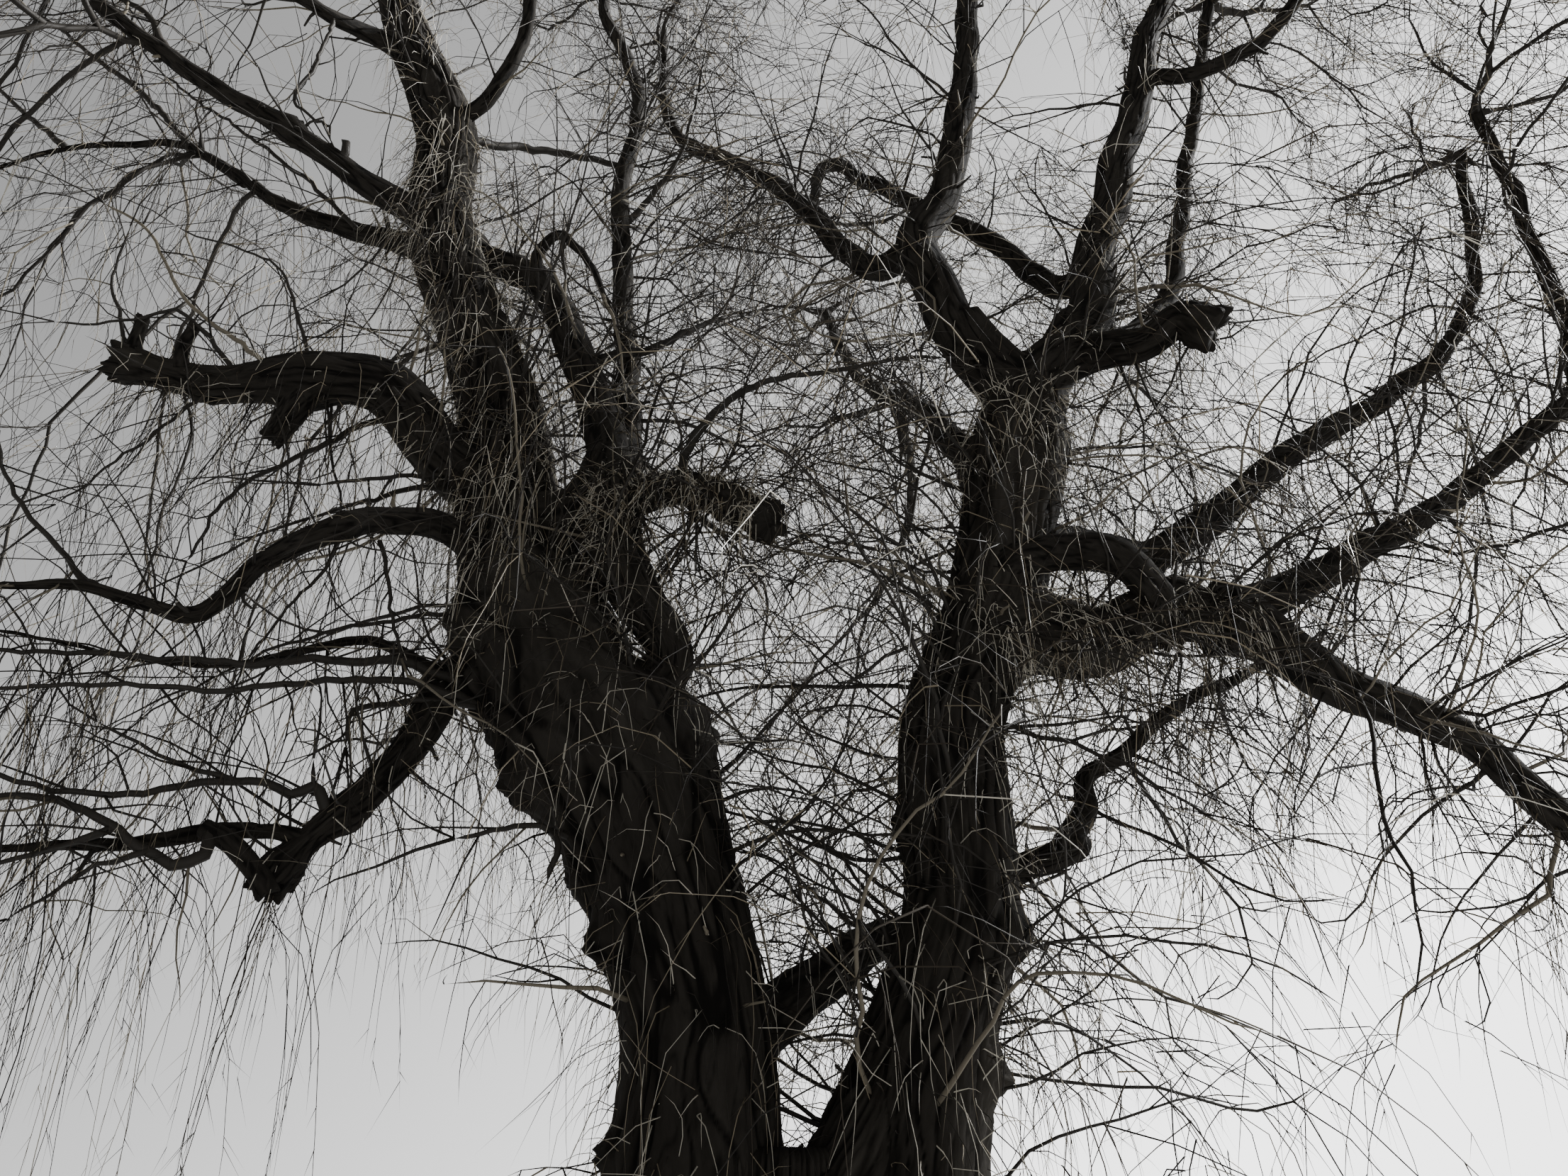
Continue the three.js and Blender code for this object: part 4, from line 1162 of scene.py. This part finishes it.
# Free branches thicker than this get a bark skin of their own
THICK = 0.04
free_lines = {}
for name, (foot_girth, tip_girth, *points) in FREE_BRANCHES.items():
    line, share = curve_through(points, 0.025 if foot_girth > THICK else 0.06)
    sizes = np.interp(share, (0, share[-1]), (foot_girth, tip_girth))
    if foot_girth > THICK:
        line = crooked(line, sizes, 900)
        places, relief, bark, ways = skin_grid(line, sizes, around=0.014, spacing=0.026, seed=800)
        if tip_girth > THICK / 2:
            places = ragged(places, ways, tip_girth, 810)
        skin_piece(name, places, relief, bark, ways, BOUGH_BARK, tip_girth > THICK / 2)
    else:
        line = crooked(line, np.full(len(line), 0.055), 900 + len(free_lines))
        line = line + growth.rng.normal(scale=0.005, size=line.shape)
        growth.runs.append((line, sizes))
    free_lines[name] = (line, sizes)
    if tip_girth < 0.014:
        tip_way = unit(line[-1] - line[-3])
        for turn in range(2):
            way = tip_way + growth.rng.normal(scale=0.4 * turn, size=3)
            size = tip_girth * (1 - 0.3 * turn)
            growth.branch(line[-1], way, growth.rng.uniform(0.6, 1.3), size, 1, 0.2)
        spacing = 2 if foot_girth < THICK else 5
        for i in range(3, len(line), spacing):
            side_way = growth.rng.normal(size=3) + DOWN * 0.3
            size = min(0.007, sizes[i] * 0.6)
            growth.branch(line[i], side_way, growth.rng.uniform(0.3, 1.0), size, 0, 0.35)

# Spurs: short dead stumps of twigs all along the limbs
SPURS_PER_METRE = 4.0
SPUR_LIMBS = (
    "left_leader", "twin_stem", "loop_bough", "long_left_bough", "upper_left_bough", "top_left_bough",
    "cut_stub_left", "arched_bough", "low_bough", "low_bough_fork", "right_leader", "right_stem",
    "inner_right_stem", "long_back_bough", "right_upper_bough", "right_bough", "right_bough_end",
    "right_rising_bough", "right_far_bough", "crossing_bough", "crooked_bough", "back_stem",
)
for name in SPUR_LIMBS:
    skin = skins[name]
    metres = np.linalg.norm(np.diff(skin["line"], axis=0), axis=1).sum()
    for _ in range(int(metres * SPURS_PER_METRE)):
        at = growth.rng.integers(4, len(skin["line"]) - 4)
        place = skin["places"][at, growth.rng.integers(skin["places"].shape[1])]
        outward = unit(place - skin["line"][at])
        forward = skin["ways"][at] * growth.rng.uniform(-0.1, 0.9)
        way = unit(outward + forward + growth.rng.normal(scale=0.25, size=3))
        reach = growth.rng.uniform(0.03, 0.13)
        girth = growth.rng.uniform(0.005, 0.012)
        bend = growth.rng.normal(scale=0.25 * reach, size=3)
        spur = [place - outward * 0.02, place + way * reach * 0.4, place + way * reach + bend]
        spur.append(spur[-1] + way * 0.004)
        growth.runs.append((np.array(spur), girth * np.array((1.4, 1.0, 0.7, 0.3))))

for line, sizes in growth.runs:
    add_branch(open_branches, line, sizes, sides_over=[(0.025, 8), (0.012, 5), (0.007, 4)], thin=0.02)

# Whips and their side twigs on the open limbs, in two pieces that meet at one distance to the right
SIDE_WHIPS = 6600
SIDE_TIP = 0.0020
SIDE_MIDDLE = 0.6
hang_places = bounded(np.array([place for place, _ in growth.hangs]))
hang_ways = np.array([way for _, way in growth.hangs])
weight = np.where(hang_places[:, 0] > LEFT_PART, 2.0, 0.30)
at = rng.choice(len(hang_places), SIDE_WHIPS, p=weight / weight.sum())
spread = unit(rng.normal(size=(SIDE_WHIPS, 3)) * (1, 1, 0.4))
way = hang_ways[at] * 0.7 + spread + UP * rng.uniform(0, 0.5, (SIDE_WHIPS, 1))
on_left = hang_places[at, 0] < LEFT_PART
droop = rng.uniform(0.2, 0.8, SIDE_WHIPS) * np.where(on_left, 3.2, 1.0)
length = rng.uniform(0.3, 1.4, SIDE_WHIPS)
lines = bounded(whip_lines(hang_places[at], way, length, droop, wander=0.13, parts=4))
spray = rng.choice(4, size=len(hang_places), p=HANGING_SHARES)
foot = rng.uniform(0.0030, 0.0050, SIDE_WHIPS) * np.where(on_left, 0.72, 1.0)
east = hang_places[at, 0] >= SIDE_MIDDLE
for name, mine in (("side_twigs_left", ~east), ("side_twigs_right", east)):
    piece = Collected()
    add_whips(piece, lines[mine], foot[mine], SIDE_TIP, spray[at][mine])
    add_hairs(piece, lines[mine], foot[mine], each=1, reach=(0.08, 0.32), shades=spray[at][mine])
    piece.make(name, SHOOTS, "twigs")

# Veils: long strands that hang almost straight down from a bough, with fine side hairs
VEILS = {
    "whorl_top": 40, "whorl_middle": 30, "whorl_low": 20, "low_rider": 12, "fork_dip": 12, "left_end": 40,
    "cut_stub_left": 80, "arched_bough": 70, "long_left_bough": 50, "upper_left_bough": 50, "low_bough": 25,
    "low_bough_fork": 25, "right_far_bough": 80, "right_rising_bough": 60, "right_bough_end": 90,
    "back_stem": 50, "long_back_bough": 60, "crossing_bough": 20, "crooked_bough": 30,
}
FINE_TIP = 0.0013
veils = Collected()
for name, count in VEILS.items():
    line, girth = {**limb_lines, **free_lines}[name]
    at = rng.integers(len(line) // 4, len(line), count)
    start = line[at] + DOWN * girth[at, None] * 0.7
    way = unit(rng.normal(size=(count, 3)) * (1, 1, 0.3)) + DOWN * 0.3
    length = rng.uniform(0.7, 1.9, count)
    droop = rng.uniform(0.7, 1.3, count)
    lines = bounded(whip_lines(start, way, length, droop, wander=0.08, parts=5))
    foot = rng.uniform(0.0024, 0.004, count) * np.where(start[:, 0] < LEFT_PART, 0.75, 1.0)
    shade = rng.choice(4, size=count, p=HANGING_SHARES)
    add_whips(veils, lines, foot, FINE_TIP, shade)
    add_hairs(veils, lines, foot, each=6, reach=(0.06, 0.22), shades=shade)

# Shoots that start from the bark itself and curve away over it, or hang from it as strands
SHOOTS_PER_SQUARE_METRE = {
    "left_leader": 85, "right_leader": 95, "twin_stem": 110, "shaggy_stub": 300, "cut_stub_left": 120,
    "right_bough": 190, "right_bough_end": 90, "right_rising_bough": 60, "arched_bough": 80, "low_bough": 100,
    "loop_bough": 50, "inner_right_stem": 60, "right_stem": 60, "crossing_bough": 60, "hooked_stub": 80,
    "right_far_bough": 50,
}
# Closer growth between two heights: a limb, the heights, how many to a square metre, the share of
# hanging strands among them, the reach of a strand and that of a curl
SHAG = [
    ("left_leader", 4.7, 8.8, 165, 0.85, (0.3, 1.0), (0.1, 0.3)),
    ("shaggy_stub", 4.0, 6.0, 1500, 0.3, (0.10, 0.28), (0.05, 0.15)),
    ("twin_stem", 4.75, 5.5, 650, 0.3, (0.1, 0.4), (0.06, 0.18)),
    ("back_stem", 4.4, 5.7, 600, 0.3, (0.1, 0.4), (0.06, 0.18)),
    ("right_bough", 4.0, 5.4, 420, 0.4, (0.1, 0.4), (0.06, 0.2)),
    ("right_leader", 5.3, 6.4, 300, 0.5, (0.1, 0.5), (0.06, 0.2)),
]
shoots = Collected()


def clothe(name, low, high, amount, strands, strand_reach, curl_reach):
    """Shoots on a limb's bark between two heights, most of them on the front."""
    skin = skins[name]
    line = skin["line"]
    ring = np.linalg.norm(skin["places"] - line[:, None], axis=-1).mean(axis=1)
    area = 2 * math.pi * ring[:-1] * np.linalg.norm(np.diff(line, axis=0), axis=1)
    area = area * ((line[:-1, 2] > low) & (line[:-1, 2] < high))
    count = int(area.sum() * amount)
    level = rng.choice(len(area), count, p=area / area.sum())
    side = rng.integers(skin["places"].shape[1], size=count)
    place = skin["places"][level, side]
    outward = unit(place - line[level])
    faces_front = (outward[:, 1] < 0.12) | (rng.random(count) < 0.22)
    place = place[faces_front]
    outward = outward[faces_front]
    count = len(place)
    strand = rng.random(count) < strands
    lift = np.where(strand, 0.5, 0.8)[:, None]
    way = outward * lift + UP * rng.uniform(-0.2, 0.9, (count, 1)) + unit(rng.normal(size=(count, 3))) * 0.6
    length = np.where(strand, rng.uniform(*strand_reach, count), rng.uniform(*curl_reach, count))
    droop = np.where(strand, rng.uniform(0.9, 1.8, count), rng.uniform(0.05, 0.6, count))
    lines = whip_lines(place, way, length, droop, wander=0.2, parts=4)
    # Nearly half the bark shoots get the palest colour: painted sunlight on them
    shade = rng.choice(4, size=count, p=SUNLIT_BARK_SHOOT_SHARES)
    add_whips(shoots, lines, rng.uniform(0.0019, 0.0036, count), FINE_TIP, shade)


for name, amount in SHOOTS_PER_SQUARE_METRE.items():
    clothe(name, 0.0, 20.0, amount, 0.35, (0.3, 1.1), (0.12, 0.5))
for row in SHAG:
    clothe(*row)


# Floor, light and camera

# The backdrop's brightness is the power of e that these give, up to a most
BACKDROP_LEVEL = 0.86
BACKDROP_SLOPE = (1.55, 0.0, -1.4)
BACKDROP_MOST = 3.6
SOFT_LIGHT = 0.22
SUN_LIGHT = 14.0
SUN_WIDTH = math.radians(5)
SUN_WAY = (-0.77, -0.24, -0.59)
FLOOR_COLOUR = (0.26, 0.26, 0.257)
FLOOR_REACH = 3000.0
FLOOR_CORNERS = 96
SIGHT = 4000.0


def graded_world(tree):
    """A pale backdrop all round, brighter low on the right, and a dimmer soft light of its own."""
    nodes = tree.nodes
    link = tree.links.new
    place = add_node(tree, "TexCoord")
    slope = add_node(tree, "VectorMath", {1: BACKDROP_SLOPE}, operation="DOT_PRODUCT")
    link(place.outputs["Generated"], slope.inputs[0])
    level = add_node(tree, "Math", {1: BACKDROP_LEVEL})
    link(slope.outputs["Value"], level.inputs[0])
    power = add_node(tree, "Math", operation="EXPONENT")
    link(level.outputs["Value"], power.inputs[0])
    cap = add_node(tree, "Math", {1: BACKDROP_MOST}, operation="MINIMUM")
    link(power.outputs["Value"], cap.inputs[0])
    link(cap.outputs["Value"], nodes["Background"].inputs["Color"])
    soft = add_node(tree, "Background", {"Color": (*WHITE, 1), "Strength": SOFT_LIGHT})
    path = add_node(tree, "LightPath")
    either = add_node(tree, "MixShader")
    link(path.outputs["Is Camera Ray"], either.inputs["Fac"])
    link(soft.outputs["Background"], either.inputs[1])
    link(nodes["Background"].outputs["Background"], either.inputs[2])
    link(either.outputs["Shader"], nodes["World Output"].inputs["Surface"])


def stage():
    """A round pale floor, a graded backdrop, a sun from the right and the camera."""
    mesh = bpy.data.meshes.new("floor")
    turns = np.arange(FLOOR_CORNERS) / FLOOR_CORNERS * 2 * math.pi
    rim = [(FLOOR_REACH * math.cos(turn), FLOOR_REACH * math.sin(turn), 0) for turn in turns]
    mesh.from_pydata(rim, [], [range(FLOOR_CORNERS)])
    material, _, shader = node_material("pale_floor")
    shader.inputs["Base Color"].default_value = (*FLOOR_COLOUR, 1)
    shader.inputs["Roughness"].default_value = 0.9
    mesh.materials.append(material)
    place_in_scene("floor", mesh)
    world = bpy.data.worlds.new("pale_studio")
    world.use_nodes = True
    graded_world(world.node_tree)
    bpy.context.scene.world = world
    lamp = bpy.data.lights.new("key", "SUN")
    lamp.energy = SUN_LIGHT
    lamp.angle = SUN_WIDTH
    key = place_in_scene("key", lamp)
    key.rotation_euler = Vector(SUN_WAY).to_track_quat("-Z", "Y").to_euler()
    lens = bpy.data.cameras.new("camera")
    lens.lens = LENS
    lens.sensor_width = SENSOR
    lens.clip_end = SIGHT
    camera = place_in_scene("camera", lens)
    camera.location = EYE
    camera.rotation_euler = (math.pi / 2 + TILT, 0, 0)
    bpy.context.scene.camera = camera


inner.make("inner_branches", BRANCHES, "bough_bark")
open_branches.make("side_branches", BRANCHES, "bough_bark")
veils.make("hanging_veils", SHOOTS, "twigs")
shoots.make("bark_shoots", SHOOTS, "twigs")
stage()
